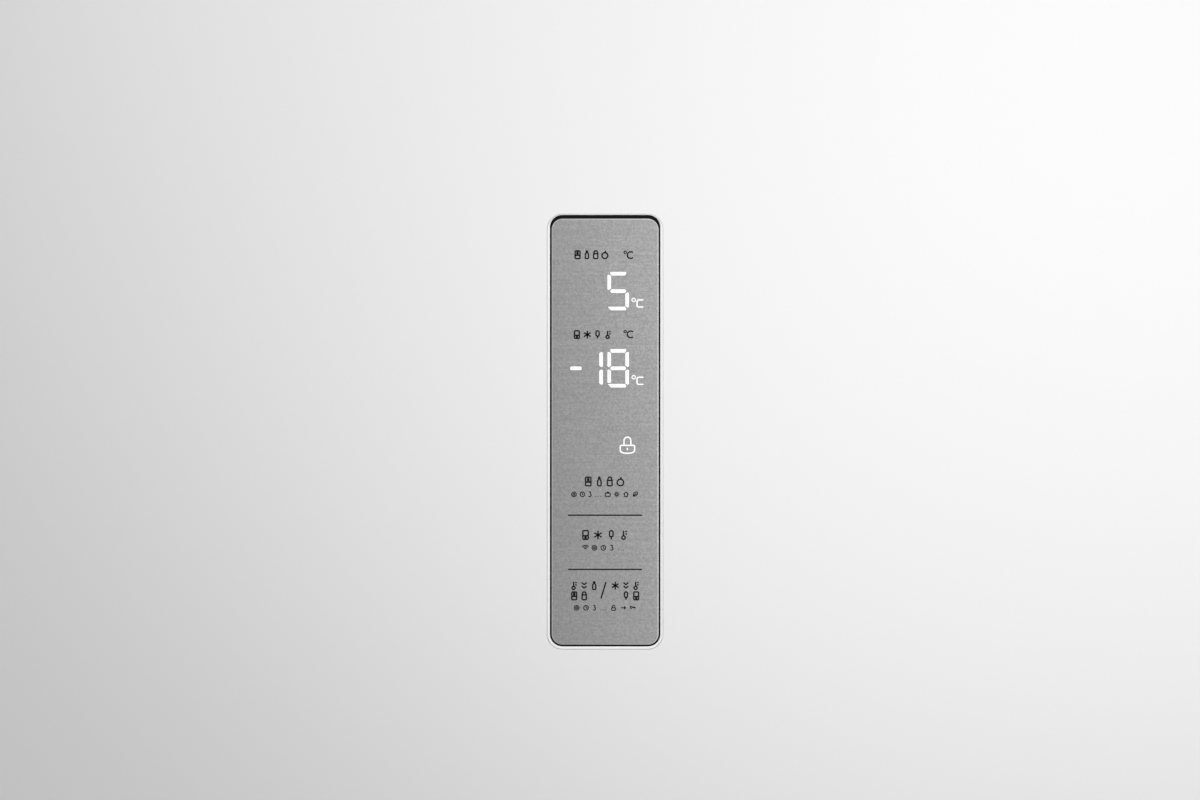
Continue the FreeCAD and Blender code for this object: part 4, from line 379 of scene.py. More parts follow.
# %% The plain finishes
DULL_SPECULAR = 0.12
PLAIN_FINISHES = {
    "white_enamel": dict(
        colour=grey(0.87), grain=1.6 * MM, shade=0.004, rough=(0.33, 0.38), bump=0.03, depth=0.1 * MM,
    ),
    "white_moulding": dict(colour=grey(0.86), grain=0.6 * MM, shade=0.012, rough=(0.40, 0.48), bump=0.05),
    # The rim is whiter than the other mouldings: a painted highlight on a smoother moulding
    "rim_moulding_highlight": dict(colour=grey(0.92), grain=0.6 * MM, shade=0.010, rough=(0.32, 0.38), bump=0.03),
    "grip_moulding": dict(
        colour=(0.60, 0.61, 0.62, 1), grain=0.5 * MM, shade=0.04, rough=(0.36, 0.46), bump=0.06,
        edge=(0.66, 0.67, 0.68, 1),
    ),
    "white_liner": dict(colour=grey(0.88), grain=1.2 * MM, shade=0.008, rough=(0.27, 0.31)),
    "rigid_foam": dict(
        colour=(0.85, 0.78, 0.58, 1), grain=1.8 * MM, shade=0.10, rough=(0.85, 0.95), bump=0.4,
    ),
    "zinc_hardware": dict(
        colour=grey(0.68), grain=0.7 * MM, shade=0.06, rough=(0.28, 0.40), metallic=1.0, bump=0.05,
        edge=grey(0.80),
    ),
    "black_moulding": dict(
        colour=grey(0.045), grain=0.6 * MM, shade=0.15, rough=(0.48, 0.60), bump=0.10, dust=0.10,
        edge=grey(0.075),
    ),
    "seal_rubber": dict(colour=grey(0.74), grain=1.2 * MM, shade=0.02, rough=(0.55, 0.66), bump=0.05),
    "black_rubber": dict(
        colour=grey(0.03), grain=1.0 * MM, shade=0.20, rough=(0.68, 0.82), bump=0.15, dust=0.15,
    ),
    "bare_aluminium": dict(
        colour=(0.80, 0.81, 0.82, 1), grain=0.4 * MM, stretch=(1, 10, 10), shade=0.06,
        rough=(0.26, 0.42), metallic=1.0, bump=0.08,
    ),
    "black_enamel": dict(
        colour=grey(0.030), grain=2.2 * MM, shade=0.12, rough=(0.28, 0.40), bump=0.08, dust=0.22,
    ),
    "copper_tube": dict(
        colour=(0.72, 0.42, 0.28, 1), grain=6 * MM, shade=0.22, rough=(0.26, 0.46), metallic=1.0,
        bump=0.04,
    ),
    "panel_ink": dict(colour=grey(0.010), grain=0.3 * MM, shade=0.20, rough=(0.42, 0.55)),
    # Painted shade: near-black, dull rubber that stands for the shadow in the gap around the plate
    "gap_rubber": dict(colour=grey(0.006), grain=1.0 * MM, shade=0.20, rough=(0.75, 0.88)),
}

finishes = {name: finish(name, **values) for name, values in PLAIN_FINISHES.items()}
# A low specular keeps the print dark, and keeps the gap's seal dark as painted shade
for name in ("panel_ink", "gap_rubber"):
    shader(finishes[name])[1].inputs["Specular IOR Level"].default_value = DULL_SPECULAR
print("plain finishes:", len(finishes))

# %% [markdown]
# ## Galvanised sheet
# The rear panel, the base pan and the compressor's plate are galvanised steel. Zinc freezes on the sheet in
# crystals almost a centimetre across, the spangle, and each crystal reflects a little differently. Voronoi
# cells give each crystal its own grey and its own gloss, on top of the fine grain of the rolled sheet.

# %% Galvanised sheet
SPANGLE = 8 * MM
SPANGLE_TONE, SPANGLE_GLOSS = 0.05, 0.04
WARP_SCALE, WARP_DETAIL, WARP_SHARE = 90.0, 2.0, 0.006

finishes["zinc_sheet"] = finish(
    "zinc_sheet", colour=grey(0.52), grain=0.9 * MM, shade=0.05, rough=(0.34, 0.46), metallic=1.0,
    bump=0.03,
)
tree, skin = shader(finishes["zinc_sheet"])
place = position(tree)
warp = add(tree, "ShaderNodeTexNoise", Vector=place, Scale=WARP_SCALE, Detail=WARP_DETAIL)
pushed = add(
    tree, "ShaderNodeMix", {"data_type": "VECTOR"}, _0=WARP_SHARE, _4=place, _5=warp.outputs["Color"],
).outputs[1]
crystal = add(tree, "ShaderNodeTexVoronoi", Vector=pushed, Scale=1 / SPANGLE)
tone = add(tree, "ShaderNodeSeparateColor", Color=crystal.outputs["Color"]).outputs[0]
base = skin.inputs["Base Color"].links[0].from_socket
level = between(tree, tone, 0, 1, 1 - SPANGLE_TONE, 1 + SPANGLE_TONE)
tree.links.new(scaled(tree, base, level), skin.inputs["Base Color"])
gloss = skin.inputs["Roughness"].links[0].from_socket
gloss = sums(tree, "ADD", gloss, between(tree, tone, 0, 1, -SPANGLE_GLOSS, SPANGLE_GLOSS))
tree.links.new(gloss, skin.inputs["Roughness"])
print("spangle of about", SPANGLE / MM, "mm on the galvanised sheet")

# %% [markdown]
# ## Brushed plate of the touch panel
# The plate is matt metal with a fine grain and faint level brushing. Its colour goes from mid grey at the
# left to a lighter grey at the right, as rolled metal looks under a broad lamp: that slow change is painted
# light in the colour. The shallow bevel around the plate is cut smooth and bright, and its colour is painted
# lighter
# towards the right as a painted highlight: the direction of the surface tells bevel from front, so the cut
# needs no pattern of its own.

# %% Brushed plate
PLATE_GREY = 0.282
# Painted light: the plate's colour is scaled from darker at the left to lighter at the right
PAINTED_LIGHT_LEFT, PAINTED_LIGHT_RIGHT = 0.92, 1.12
BRUSHING, BRUSHING_SHADE = (30 * MM, 30 * MM, 0.6 * MM), 0.06
# The bevel's colour is partly its smooth bright cut and partly a painted highlight, lighter towards the right
CUT_HIGHLIGHT_LEFT, CUT_HIGHLIGHT_RIGHT, CUT_ROUGHNESS = 0.43, 0.66, 0.15
FACES_FRONT, FACES_ASIDE = -0.985, -0.94

finishes["brushed_panel"] = finish(
    "brushed_panel", colour=grey(PLATE_GREY), grain=0.9 * MM, shade=0.15, rough=(0.36, 0.46),
    metallic=1.0, bump=0.05, depth=0.03 * MM,
)
tree, skin = shader(finishes["brushed_panel"])
coordinates = add(tree, "ShaderNodeTexCoord")
where = add(tree, "ShaderNodeSeparateXYZ", _0=coordinates.outputs["Object"])
# Painted light: the plate's grey grows from the left edge to the right edge
across = between(tree, where.outputs["X"], plate_low.x, plate_high.x, PAINTED_LIGHT_LEFT, PAINTED_LIGHT_RIGHT)
base = skin.inputs["Base Color"].links[0].from_socket
brushed = place_group(tree, fine_grain, Colour=base, Grain_Size=BRUSHING, Shade=BRUSHING_SHADE)
painted_light_plate = scaled(tree, brushed.outputs["Colour"], across)
facing = add(tree, "ShaderNodeSeparateXYZ", _0=coordinates.outputs["Normal"])
on_bevel = between(tree, facing.outputs["Y"], FACES_FRONT, FACES_ASIDE, 0.0, 1.0)
# Painted highlight: the bevel's colour grows lighter towards the right
cut_with_painted_highlight = between(tree, where.outputs["X"], plate_low.x, plate_high.x, CUT_HIGHLIGHT_LEFT, CUT_HIGHLIGHT_RIGHT)
tree.links.new(blend(tree, on_bevel, painted_light_plate, cut_with_painted_highlight), skin.inputs["Base Color"])
rough = skin.inputs["Roughness"].links[0].from_socket
plate_rough = add(tree, "ShaderNodeMix", _0=on_bevel, _2=rough, _3=CUT_ROUGHNESS)
tree.links.new(plate_rough.outputs[0], skin.inputs["Roughness"])
print("plate grey from", PLATE_GREY * PAINTED_LIGHT_LEFT, "to", PLATE_GREY * PAINTED_LIGHT_RIGHT)

# %% [markdown]
# ## Clear, frosted and glass finishes
# Door bins and the crisper are clear polystyrene, the freezer drawers are frosted, and the shelves are safety
# glass, a little green. Light must pass through a full stack of them, so shadow rays take them as mostly
# transparent; that is quicker and cleaner than tracing the light through every wall.

# %% Clear finishes
CLEAR_GRAIN, CLEAR_SHADE = 20 * MM, 0.015


def clear_finish(name, colour, rough, bend, share, shadow):
    """Plastic or glass. Share is how much light passes, bend its IOR, shadow what its shadow lets by."""
    material = finish(name, colour, CLEAR_GRAIN, CLEAR_SHADE, rough)
    tree, skin = shader(material)
    skin.inputs["Transmission Weight"].default_value = share
    skin.inputs["IOR"].default_value = bend
    ray = add(tree, "ShaderNodeLightPath").outputs["Is Shadow Ray"]
    passing = add(tree, "ShaderNodeBsdfTransparent", Color=shadow)
    both = add(tree, "ShaderNodeMixShader", _0=ray, _1=skin.outputs[0], _2=passing.outputs[0])
    tree.links.new(both.outputs[0], tree.nodes["Material Output"].inputs["Surface"])
    return material


CLEAR_FINISHES = {
    "clear_moulding": dict(
        colour=(0.965, 0.98, 0.985, 1), rough=(0.04, 0.09), bend=1.49, share=1.0,
        shadow=(0.93, 0.95, 0.96, 1),
    ),
    "frosted_moulding": dict(
        colour=(0.970, 0.978, 0.982, 1), rough=(0.30, 0.42), bend=1.45, share=0.60,
        shadow=(0.86, 0.88, 0.90, 1),
    ),
    "shelf_glass": dict(
        colour=(0.945, 0.98, 0.97, 1), rough=(0.01, 0.03), bend=1.5, share=1.0,
        shadow=(0.945, 0.97, 0.962, 1),
    ),
}
for name, values in CLEAR_FINISHES.items():
    finishes[name] = clear_finish(name, **values)
print("clear finishes:", list(CLEAR_FINISHES))

# %% [markdown]
# ## What gives light
# The digits and signs of the panel are white light guides that end level with the plate. A light guide is
# never lit quite evenly, so the colour of the light swings gently. The lamp under the refrigerator's ceiling
# has a milky lens. The circuit board behind the plate is green, with paler tracks.

# %% Lit finishes and circuit board
LIT_FINISHES = {
    "lit_guide": dict(body=grey(0.30), glow=grey(0.96), light=0.80),
    "lamp_lens": dict(body=grey(0.80), glow=(0.98, 0.97, 0.94, 1), light=9.0),
}
LIT_GRAIN, LIT_SHADE, LIT_SWING, LIT_ROUGH = 4 * MM, 0.02, 0.03, (0.35, 0.45)
BOARD_GREEN, TRACK_GREEN = (0.03, 0.17, 0.08, 1), (0.10, 0.33, 0.17, 1)
TRACK_PITCH, TRACK_WIDTH = 3 * MM, 0.04


def lit_finish(name, body, glow, light):
    """Milky plastic that gives light of its own: body is its colour unlit, glow the colour of its light."""
    material = finish(name, body, LIT_GRAIN, LIT_SHADE, LIT_ROUGH)
    tree, skin = shader(material)
    shining = place_group(tree, fine_grain, Colour=glow, Grain_Size=[LIT_GRAIN] * 3, Shade=LIT_SWING)
    tree.links.new(shining.outputs["Colour"], skin.inputs["Emission Color"])
    skin.inputs["Emission Strength"].default_value = light
    return material


for name, values in LIT_FINISHES.items():
    finishes[name] = lit_finish(name, **values)
finishes["circuit_board"] = finish(
    "circuit_board", colour=BOARD_GREEN, grain=0.8 * MM, shade=0.08, rough=(0.30, 0.42),
)
tree, skin = shader(finishes["circuit_board"])
board = add(tree, "ShaderNodeMapping", Vector=position(tree), Rotation=(math.pi / 2, 0, 0))
base = skin.inputs["Base Color"].links[0].from_socket
tracks = add(
    tree, "ShaderNodeTexBrick", Vector=board.outputs[0], Color1=base, Color2=base, Mortar=TRACK_GREEN,
    Scale=1 / TRACK_PITCH, Mortar_Size=TRACK_WIDTH,
)
tree.links.new(tracks.outputs["Color"], skin.inputs["Base Color"])
print("lit finishes:", list(LIT_FINISHES), "and a circuit board with tracks every", TRACK_PITCH / MM, "mm")

# %% [markdown]
# ## Finishes on the CAD pieces
# Each CAD piece names a finish in the record. Its mesh stays as it is, and only the material in its slot
# changes. The panel's rim is a smoother moulding than the others, and it is whiter as a painted highlight.

# %% Give every CAD piece its finish
for row in frame["record"]["subparts"]:
    mesh = nodes[row["node"]].data
    mesh.materials.clear()
    mesh.materials.append(finishes[row["material_slot"]])
# The rim's whiter finish is a painted highlight
nodes["panel_frame"].data.materials[0] = finishes["rim_moulding_highlight"]

# %% [markdown]
# ## Printed signs on the plate
# The plate carries dark printed signs above the digits, and three touch keys parted by two thin lines. The
# signs are plain pictograms: a refrigerator, bottles, a snowflake, a clock. Each sign is a few strokes, and
# Geometry Nodes sweep a flat band along them, so one tree gives every stroke its width.

# %% Geometry Nodes tree that sweeps a flat band along strokes
CORNER_CUTS = 3


def new_tree(name, **inputs):
    """Starts a Geometry Nodes tree. Returns it with its sockets and the identifiers of its inputs."""
    tree = bpy.data.node_groups.new(name, "GeometryNodeTree")
    tree.interface.new_socket("Geometry", in_out="OUTPUT", socket_type="NodeSocketGeometry")
    names = {"Geometry": "NodeSocketGeometry", **inputs}
    keys = {}
    for label, kind in names.items():
        socket = tree.interface.new_socket(label.replace("_", " "), in_out="INPUT", socket_type=kind)
        keys[label] = socket.identifier
    return tree, tree.nodes.new("NodeGroupInput").outputs, tree.nodes.new("NodeGroupOutput").inputs, keys


def made_mesh(name, mesh, tree, keys, **values):
    """Runs a tree on a mesh and returns the plain mesh that comes out. The helper object goes again."""
    carrier = bpy.data.objects.new(name, mesh)
    scene.collection.objects.link(carrier)
    modifier = carrier.modifiers.new("shape", "NODES")
    modifier.node_group = tree
    for label, value in values.items():
        modifier[keys[label]] = value
    evaluated = carrier.evaluated_get(bpy.context.evaluated_depsgraph_get())
    plain = bpy.data.meshes.new_from_object(evaluated)
    carrier.modifiers.remove(modifier)
    bpy.data.objects.remove(carrier)
    return plain


band_tree, given, made, band_keys = new_tree(
    "flat band along strokes", Band_Width="NodeSocketFloat", Band_Thickness="NodeSocketFloat",
    Corner_Radius="NodeSocketFloat", Finish="NodeSocketMaterial",
)
curve = add(band_tree, "GeometryNodeMeshToCurve", Mesh=given["Geometry"])
corner = add(
    band_tree, "GeometryNodeFilletCurve", {"mode": "POLY"}, Curve=curve.outputs[0],
    Radius=given["Corner Radius"], Limit_Radius=True, Count=CORNER_CUTS,
)
section = add(
    band_tree, "GeometryNodeCurvePrimitiveQuadrilateral", Width=given["Band Width"],
    Height=given["Band Thickness"],
)
swept = add(
    band_tree, "GeometryNodeCurveToMesh", Curve=corner.outputs[0], Profile_Curve=section.outputs[0],
    Fill_Caps=True,
)
single = add(band_tree, "GeometryNodeRealizeInstances", Geometry=swept.outputs[0])
dressed = add(band_tree, "GeometryNodeSetMaterial", Geometry=single.outputs[0], Material=given["Finish"])
band_tree.links.new(dressed.outputs[0], made["Geometry"])
print("tree:", band_tree.name, "with inputs", list(band_keys))

# %% Signs as strokes in a box one unit high


def arc(x, y, radius, start, end, count=8):
    """Points of an arc around a middle, from a start to an end in degrees."""
    step = math.radians(end - start) / count
    first = math.radians(start)
    angles = [first + k * step for k in range(count + 1)]
    return [(x + radius * math.cos(angle), y + radius * math.sin(angle)) for angle in angles]


def ring(x, y, radius, count=16):
    """A closed circle, whose last point isn't the first again."""
    return arc(x, y, radius, 0, 360, count)[:-1] + ["closed"]


def spokes(count, inner, outer, start=90):
    lines = []
    for k in range(count):
        angle = math.radians(start + 360 * k / count)
        way = (math.cos(angle), math.sin(angle))
        lines.append([(inner * way[0], inner * way[1]), (outer * way[0], outer * way[1])])
    return lines


def box_sign(left, low, right, high):
    return [(left, low), (right, low), (right, high), (left, high), "closed"]


CABINET = [box_sign(-0.31, -0.5, 0.31, 0.5), [(-0.31, -0.08), (0.31, -0.08)]]
SIGNS = {
    "fridge": CABINET + [[(-0.15, y), (0.15, y)] for y in (0.08, 0.2, 0.32)],
    "freezer": CABINET + [[(-0.15, y), (0.15, y)] for y in (-0.22, -0.36)],
    "bottle": [[
        (-0.2, -0.5), (0.2, -0.5), (0.2, 0.08), (0.08, 0.25), (0.08, 0.5), (-0.08, 0.5), (-0.08, 0.25),
        (-0.2, 0.08), "closed",
    ]],
    "carton": [
        [(-0.27, -0.5), (0.27, -0.5), (0.27, 0.12), (0.14, 0.5), (-0.14, 0.5), (-0.27, 0.12), "closed"],
        [(-0.27, 0.12), (0.27, 0.12)],
    ],
    "fruit": [ring(0, -0.12, 0.38), [(0, 0.26), (0.12, 0.5)]],
    "snow": spokes(6, 0.0, 0.5),
    "lolly": [[(-0.2, -0.18), (0.2, -0.18), *arc(0, 0.3, 0.2, 0, 180), "closed"], [(0, -0.18), (0, -0.5)]],
    "warmth": [
        ring(-0.08, -0.3, 0.2), [(-0.08, -0.1), (-0.08, 0.5)], [(0.12, 0.4), (0.32, 0.4)],
        [(0.12, 0.1), (0.32, 0.1)],
    ],
    "quick": [[(-0.3, y + 0.3), (0, y), (0.3, y + 0.3)] for y in (0.1, -0.35)],
    "press": [ring(0, 0, 0.46), ring(0, 0, 0.18, 10)],
    "clock": [ring(0, 0, 0.46), [(0, 0.28), (0, 0), (0.22, -0.1)]],
    "three": [[
        (-0.24, 0.5), (0.22, 0.5), (-0.02, 0.12), (0.2, 0.0), (0.24, -0.24), (0, -0.5), (-0.26, -0.36),
    ]],
    "dots": [[(x - 0.06, -0.4), (x + 0.06, -0.4)] for x in (-0.5, 0.0, 0.5)],
    "case": [box_sign(-0.48, -0.42, 0.48, 0.24), [(-0.18, 0.24), (-0.18, 0.46), (0.18, 0.46), (0.18, 0.24)]],
    "sun": [ring(0, 0, 0.24)] + spokes(8, 0.36, 0.52),
    "house": [
        [(-0.48, 0), (0, 0.48), (0.48, 0)], [(-0.32, 0.12), (-0.32, -0.46), (0.32, -0.46), (0.32, 0.12)],
    ],
    "leaf": [
        [(-0.42, -0.42), (-0.3, 0.2), (0.05, 0.44), (0.45, 0.46), (0.42, 0.04), (0.1, -0.28), "closed"],
        [(-0.42, -0.42), (0.2, 0.2)],
    ],
    "waves": [arc(0, -0.42, radius, 45, 135) for radius in (0.3, 0.6, 0.9)],
    "unlock": [
        box_sign(-0.36, -0.5, 0.36, 0.02),
        [(-0.24, 0.02), (-0.24, 0.24), *arc(0, 0.24, 0.24, 180, 0), (0.24, 0.2)],
    ],
    "key": [ring(-0.28, 0.1, 0.2), [(-0.08, 0.1), (0.5, 0.1), (0.5, -0.14)], [(0.3, 0.1), (0.3, -0.1)]],
    "arrow": [[(-0.45, 0), (0.45, 0)], [(0.15, 0.3), (0.45, 0), (0.15, -0.3)]],
    "degree": [ring(0, 0, 0.5, 12)],
    "unit": [arc(0, 0, 0.5, 45, 315, 14)],
}
print("signs drawn:", len(SIGNS))

# %% Where the signs stand, in millimetres from the middle of the plate
LABEL_BAND, SMALL_BAND, LINE_BAND = 0.66, 0.46, 0.64
# Each style of sign has its band width and its height
LABEL, KEY, UNIT = (LABEL_BAND, 3.5), (LABEL_BAND, 3.9), (LABEL_BAND, 3.0)
SMALL, DEGREE = (SMALL_BAND, 2.3), (SMALL_BAND, 1.12)
BAND_THICKNESS = 0.04
CORNER_SHARE = 0.6
# Each row has its style, its height on the plate, and its signs with the X of each
PRINT_ROWS = (
    (LABEL, 79.7, {"fridge": -12.4, "bottle": -8.2, "carton": -4.2, "fruit": -0.1}),
    (LABEL, 43.7, {"freezer": -12.7, "snow": -8.0, "lolly": -3.4, "warmth": 1.4}),
    (UNIT, 79.5, {"unit": 11.5}),
    (DEGREE, 80.75, {"degree": 9.05}),
    (UNIT, 43.8, {"unit": 11.5}),
    (DEGREE, 45.05, {"degree": 9.05}),
    (KEY, -22.4, {"fridge": -7.6, "bottle": -2.6, "carton": 2.1, "fruit": 6.9}),
    (SMALL, -28.2, {
        "press": -14.0, "clock": -10.2, "three": -6.8, "dots": -3.2, "case": 1.2, "sun": 5.2, "house": 9.4,
        "leaf": 13.6,
    }),
    (KEY, -46.5, {"freezer": -8.8, "snow": -3.2, "lolly": 2.8, "warmth": 8.6}),
    (SMALL, -52.3, {"waves": -8.9, "press": -4.8, "clock": -0.8, "three": 3.0, "dots": 7.2}),
    (LABEL, -69.3, {"warmth": -13.9, "quick": -9.4, "bottle": -4.9}),
    (LABEL, -73.9, {"fridge": -13.9, "carton": -9.4}),
    (LABEL, -69.3, {"snow": 4.6, "quick": 9.4, "warmth": 14.0}),
    (LABEL, -73.9, {"lolly": 9.4, "freezer": 14.0}),
    (SMALL, -79.3, {
        "press": -12.8, "clock": -8.6, "three": -4.8, "dots": -0.8, "unlock": 3.8, "arrow": 8.2, "key": 12.4,
    }),
)
DIVIDERS = [[(-16.7, z), (16.6, z)] for z in (-37.6, -62.0)]
SLASH = [[(-1.85, -75.1), (0.4, -67.7)]]


def placed(sign, x, z, high):
    """Strokes of a sign at its place and size on the plate."""
    lines = []
    for stroke in SIGNS[sign]:
        lines.append([p if p == "closed" else (x + p[0] * high, z + p[1] * high) for p in stroke])
    return lines


def stroke_mesh(name, strokes):
    """A mesh of bare edges, flat in X and Y, for the tree to sweep."""
    mesh = bmesh.new()
    for stroke in strokes:
        points = [mesh.verts.new((*p, 0)) for p in stroke if p != "closed"]
        for first, second in zip(points, points[1:]):
            mesh.edges.new((first, second))
        if stroke[-1] == "closed":
            mesh.edges.new((points[-1], points[0]))
    return mesh_data(name, mesh)


def joined(name, meshes):
    """Joins plain meshes that share one material into one object at the origin."""
    whole = bmesh.new()
    for mesh in meshes:
        whole.from_mesh(mesh)
    return mesh_object(name, whole, meshes[0].materials[0])


ON_PLATE = (
    Matrix.Translation((plate_middle.x, plate_front, plate_middle.z))
    @ Matrix.Rotation(math.pi / 2, 4, "X")
    @ Matrix.Scale(MM, 4)
)


def bands(name, groups, material):
    """Sweeps groups of strokes, each with its own band width, and lays them on the plate as one piece."""
    parts = []
    for width, strokes in groups.items():
        part = made_mesh(
            name, stroke_mesh(name, strokes), band_tree, band_keys, Band_Width=width,
            Band_Thickness=BAND_THICKNESS, Corner_Radius=width * CORNER_SHARE, Finish=material,
        )
        part.transform(ON_PLATE)
        parts.append(part)
    return joined(name, parts)


strokes = {LABEL_BAND: list(SLASH), SMALL_BAND: [], LINE_BAND: list(DIVIDERS)}
for (band, high), z, row in PRINT_ROWS:
    for sign, x in row.items():
        strokes[band] += placed(sign, x, z, high)
panel_print = bands("panel_print", strokes, finishes["panel_ink"])
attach(panel_print, "fridge_door")
print("printed signs:", len(panel_print.data.polygons), "faces")

# %% [markdown]
# ## Lit signs on the plate
# Beside each lit number stands a small lit degree sign with its unit, and below them the outline of a
# padlock. They are windows in the plate like the digits, but as thin as a pencil line, so they lie on the
# plate as bands of light.

# %% Lit signs
LIT_DEGREE, LIT_LINE = 0.45, 0.62
DIGIT_ROWS = (59.3, 24.5)
UNIT_HALF = 1.6
UNIT_CUT = 0.5
UNIT_LEFT, UNIT_RIGHT = 14.37, 17.25
DEGREE_X, DEGREE_RADIUS = 12.86, 0.77
LOCK_X = 10.05
LOCK_HALF, SHACKLE_HALF = 3.22, 1.54
LOCK_TOP, LOCK_SIDE, LOCK_FOOT = -6.18, -8.6, -9.77
SHACKLE_SPRING = -4.0
KEYHOLE = (-7.3, -8.25)
LOCK_BELLY_STEPS = 6

lit = {LIT_DEGREE: [], LIT_LINE: []}
for top in DIGIT_ROWS:
    low = top - 2 * UNIT_HALF
    lit[LIT_DEGREE].append(ring(DEGREE_X, top, DEGREE_RADIUS))
    lit[LIT_LINE].append([
        (UNIT_RIGHT, top), (UNIT_LEFT + UNIT_CUT, top), (UNIT_LEFT, top - UNIT_CUT),
        (UNIT_LEFT, low + UNIT_CUT), (UNIT_LEFT + UNIT_CUT, low), (UNIT_RIGHT, low),
    ])
belly = []
for k in range(LOCK_BELLY_STEPS + 1):
    angle = math.pi * k / LOCK_BELLY_STEPS
    sag = (LOCK_FOOT - LOCK_SIDE) * math.sin(angle)
    belly.append((LOCK_X + LOCK_HALF * math.cos(angle), LOCK_SIDE + sag))
lit[LIT_LINE].append([(LOCK_X - LOCK_HALF, LOCK_TOP), (LOCK_X + LOCK_HALF, LOCK_TOP), *belly, "closed"])
shackle = arc(LOCK_X, SHACKLE_SPRING, SHACKLE_HALF, 180, 0)
lit[LIT_LINE].append([(LOCK_X - SHACKLE_HALF, LOCK_TOP), *shackle, (LOCK_X + SHACKLE_HALF, LOCK_TOP)])
lit[LIT_LINE].append([(LOCK_X, z) for z in KEYHOLE])
panel_lit_signs = bands("panel_lit_signs", lit, finishes["lit_guide"])
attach(panel_lit_signs, "fridge_door")
print("lit signs:", len(panel_lit_signs.data.polygons), "faces")

# %% [markdown]
# ## Seals around the plate and its rim
# Between the plate and its rim runs a narrow dark gap, wider above the plate than beside it. A black rubber
# seal fills it, with a thin lip on the plate's bevel; its near-black, dull colour is painted shade, standing
# for the shadow down in the gap. The hairline between the rim and the door is filled with pale sealant, set
# below the paint, and shows as a thin grey outline. Each is a closed ring through rounded rectangles, so all
# its outlines get the same number of points and are joined point to point.

# %% A ring through rounded rectangles
CORNER_STEPS = 8
PLATE_CORNER = 5.0 * MM


def around_plate(grow, head=0.0):
    """Left, low, right, high and radius of an outline at a distance from the plate, and more above it."""
    return (
        plate_low.x - grow, plate_low.z - grow, plate_high.x + grow, plate_high.z + grow + head,
        PLATE_CORNER + grow,
    )


def rounded_outline(left, low, right, high, radius, y):
    """Points of an upright rounded rectangle, counter-clockwise from the lower right corner."""
    outline = []
    for x, z, start in (
        (right - radius, low + radius, -90), (right - radius, high - radius, 0),
        (left + radius, high - radius, 90), (left + radius, low + radius, 180),
    ):
        outline += [(px, y, pz) for px, pz in arc(x, z, radius, start, start + 90, CORNER_STEPS)]
    return outline


def ring_piece(name, section, material):
    """A closed ring on the door. Its section is a list of outlines, each with its depth."""
    mesh = bmesh.new()
    loops = []
    for box, y in section:
        loops.append([mesh.verts.new(point) for point in rounded_outline(*box, y)])
    for near, far in zip(loops, loops[1:] + loops[:1]):
        join_rows(mesh, near, far)
    piece = mesh_object(name, mesh, material)
    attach(piece, "fridge_door")
    print(name, "with", len(piece.data.polygons), "faces")


# %% Plate seal and rim sealant
GAP_SIDE, GAP_HEAD = 0.6 * MM, 0.9 * MM
RIM_WIDTH, RIM_SEAM = 1.15 * MM, 0.15 * MM
RING_PLAY = 0.02 * MM
SEAL_LIP, LIP_FRONT, LIP_BACK = 0.12 * MM, 0.03 * MM, 0.16 * MM
SEALANT_SET, SEALANT_DEPTH = 0.60 * MM, 0.76 * MM

lip, edge = around_plate(-SEAL_LIP), around_plate(RING_PLAY)
wall = around_plate(GAP_SIDE - RING_PLAY, GAP_HEAD)
lip_front, lip_back, seal_back = plate_front + LIP_FRONT, plate_front + LIP_BACK, plate_high.y
seal_section = [
    (lip, lip_front), (wall, lip_front), (wall, seal_back), (edge, seal_back), (edge, lip_back),
    (lip, lip_back),
]
# The seal's near-black colour is painted shade in the gap around the plate
ring_piece("panel_seal", seal_section, finishes["gap_rubber"])
rim_out = GAP_SIDE + RIM_WIDTH
near, far = around_plate(rim_out + RING_PLAY), around_plate(rim_out + RIM_SEAM - RING_PLAY)
sealant_front, sealant_back = door_front + SEALANT_SET, door_front + SEALANT_DEPTH
sealant_section = [(near, sealant_back), (near, sealant_front), (far, sealant_front), (far, sealant_back)]
ring_piece("rim_sealant", sealant_section, finishes["seal_rubber"])

# %% [markdown]
# ## What repeats: screws, ribs and flutes
# Screws on the rear panel and hinges, ribs on bin floors and flutes on drawers are one small shape, set many
# times. A second tree puts a pattern shape on each point of a bare mesh. Each point says which way the
# pattern faces and how it lies, and screws also get a random turn, because no fitter stops them all alike.

# %% Geometry Nodes tree that sets a pattern on points
TURN_SEED = 7

set_tree, given, made, set_keys = new_tree(
    "pattern on points", Pattern="NodeSocketObject", Random_Turn="NodeSocketFloat",
    Finish="NodeSocketMaterial",
)


def attribute(tree, name):
    return add(tree, "GeometryNodeInputNamedAttribute", {"data_type": "FLOAT_VECTOR"}, Name=name).outputs[0]


shape = add(set_tree, "GeometryNodeObjectInfo", Object=given["Pattern"])
outward = add(
    set_tree, "FunctionNodeAlignRotationToVector", {"axis": "Z"}, Vector=attribute(set_tree, "facing"),
)
along = add(
    set_tree, "FunctionNodeAlignRotationToVector", {"axis": "Y", "pivot_axis": "Z"},
    Rotation=outward.outputs[0], Vector=attribute(set_tree, "lying"),
)
chance = add(set_tree, "FunctionNodeRandomValue", {"data_type": "FLOAT"}, Seed=TURN_SEED)
angle = sums(set_tree, "MULTIPLY", chance.outputs[1], given["Random Turn"])
turn = add(set_tree, "FunctionNodeAxisAngleToRotation", Axis=(0, 0, 1), Angle=angle)
turned = add(
    set_tree, "FunctionNodeRotateRotation", {"rotation_space": "LOCAL"},
    Rotation=along.outputs[0], Rotate_By=turn.outputs[0],
)
copies = add(
    set_tree, "GeometryNodeInstanceOnPoints", Points=given["Geometry"], Instance=shape.outputs["Geometry"],
    Rotation=turned.outputs[0],
)
single = add(set_tree, "GeometryNodeRealizeInstances", Geometry=copies.outputs[0])
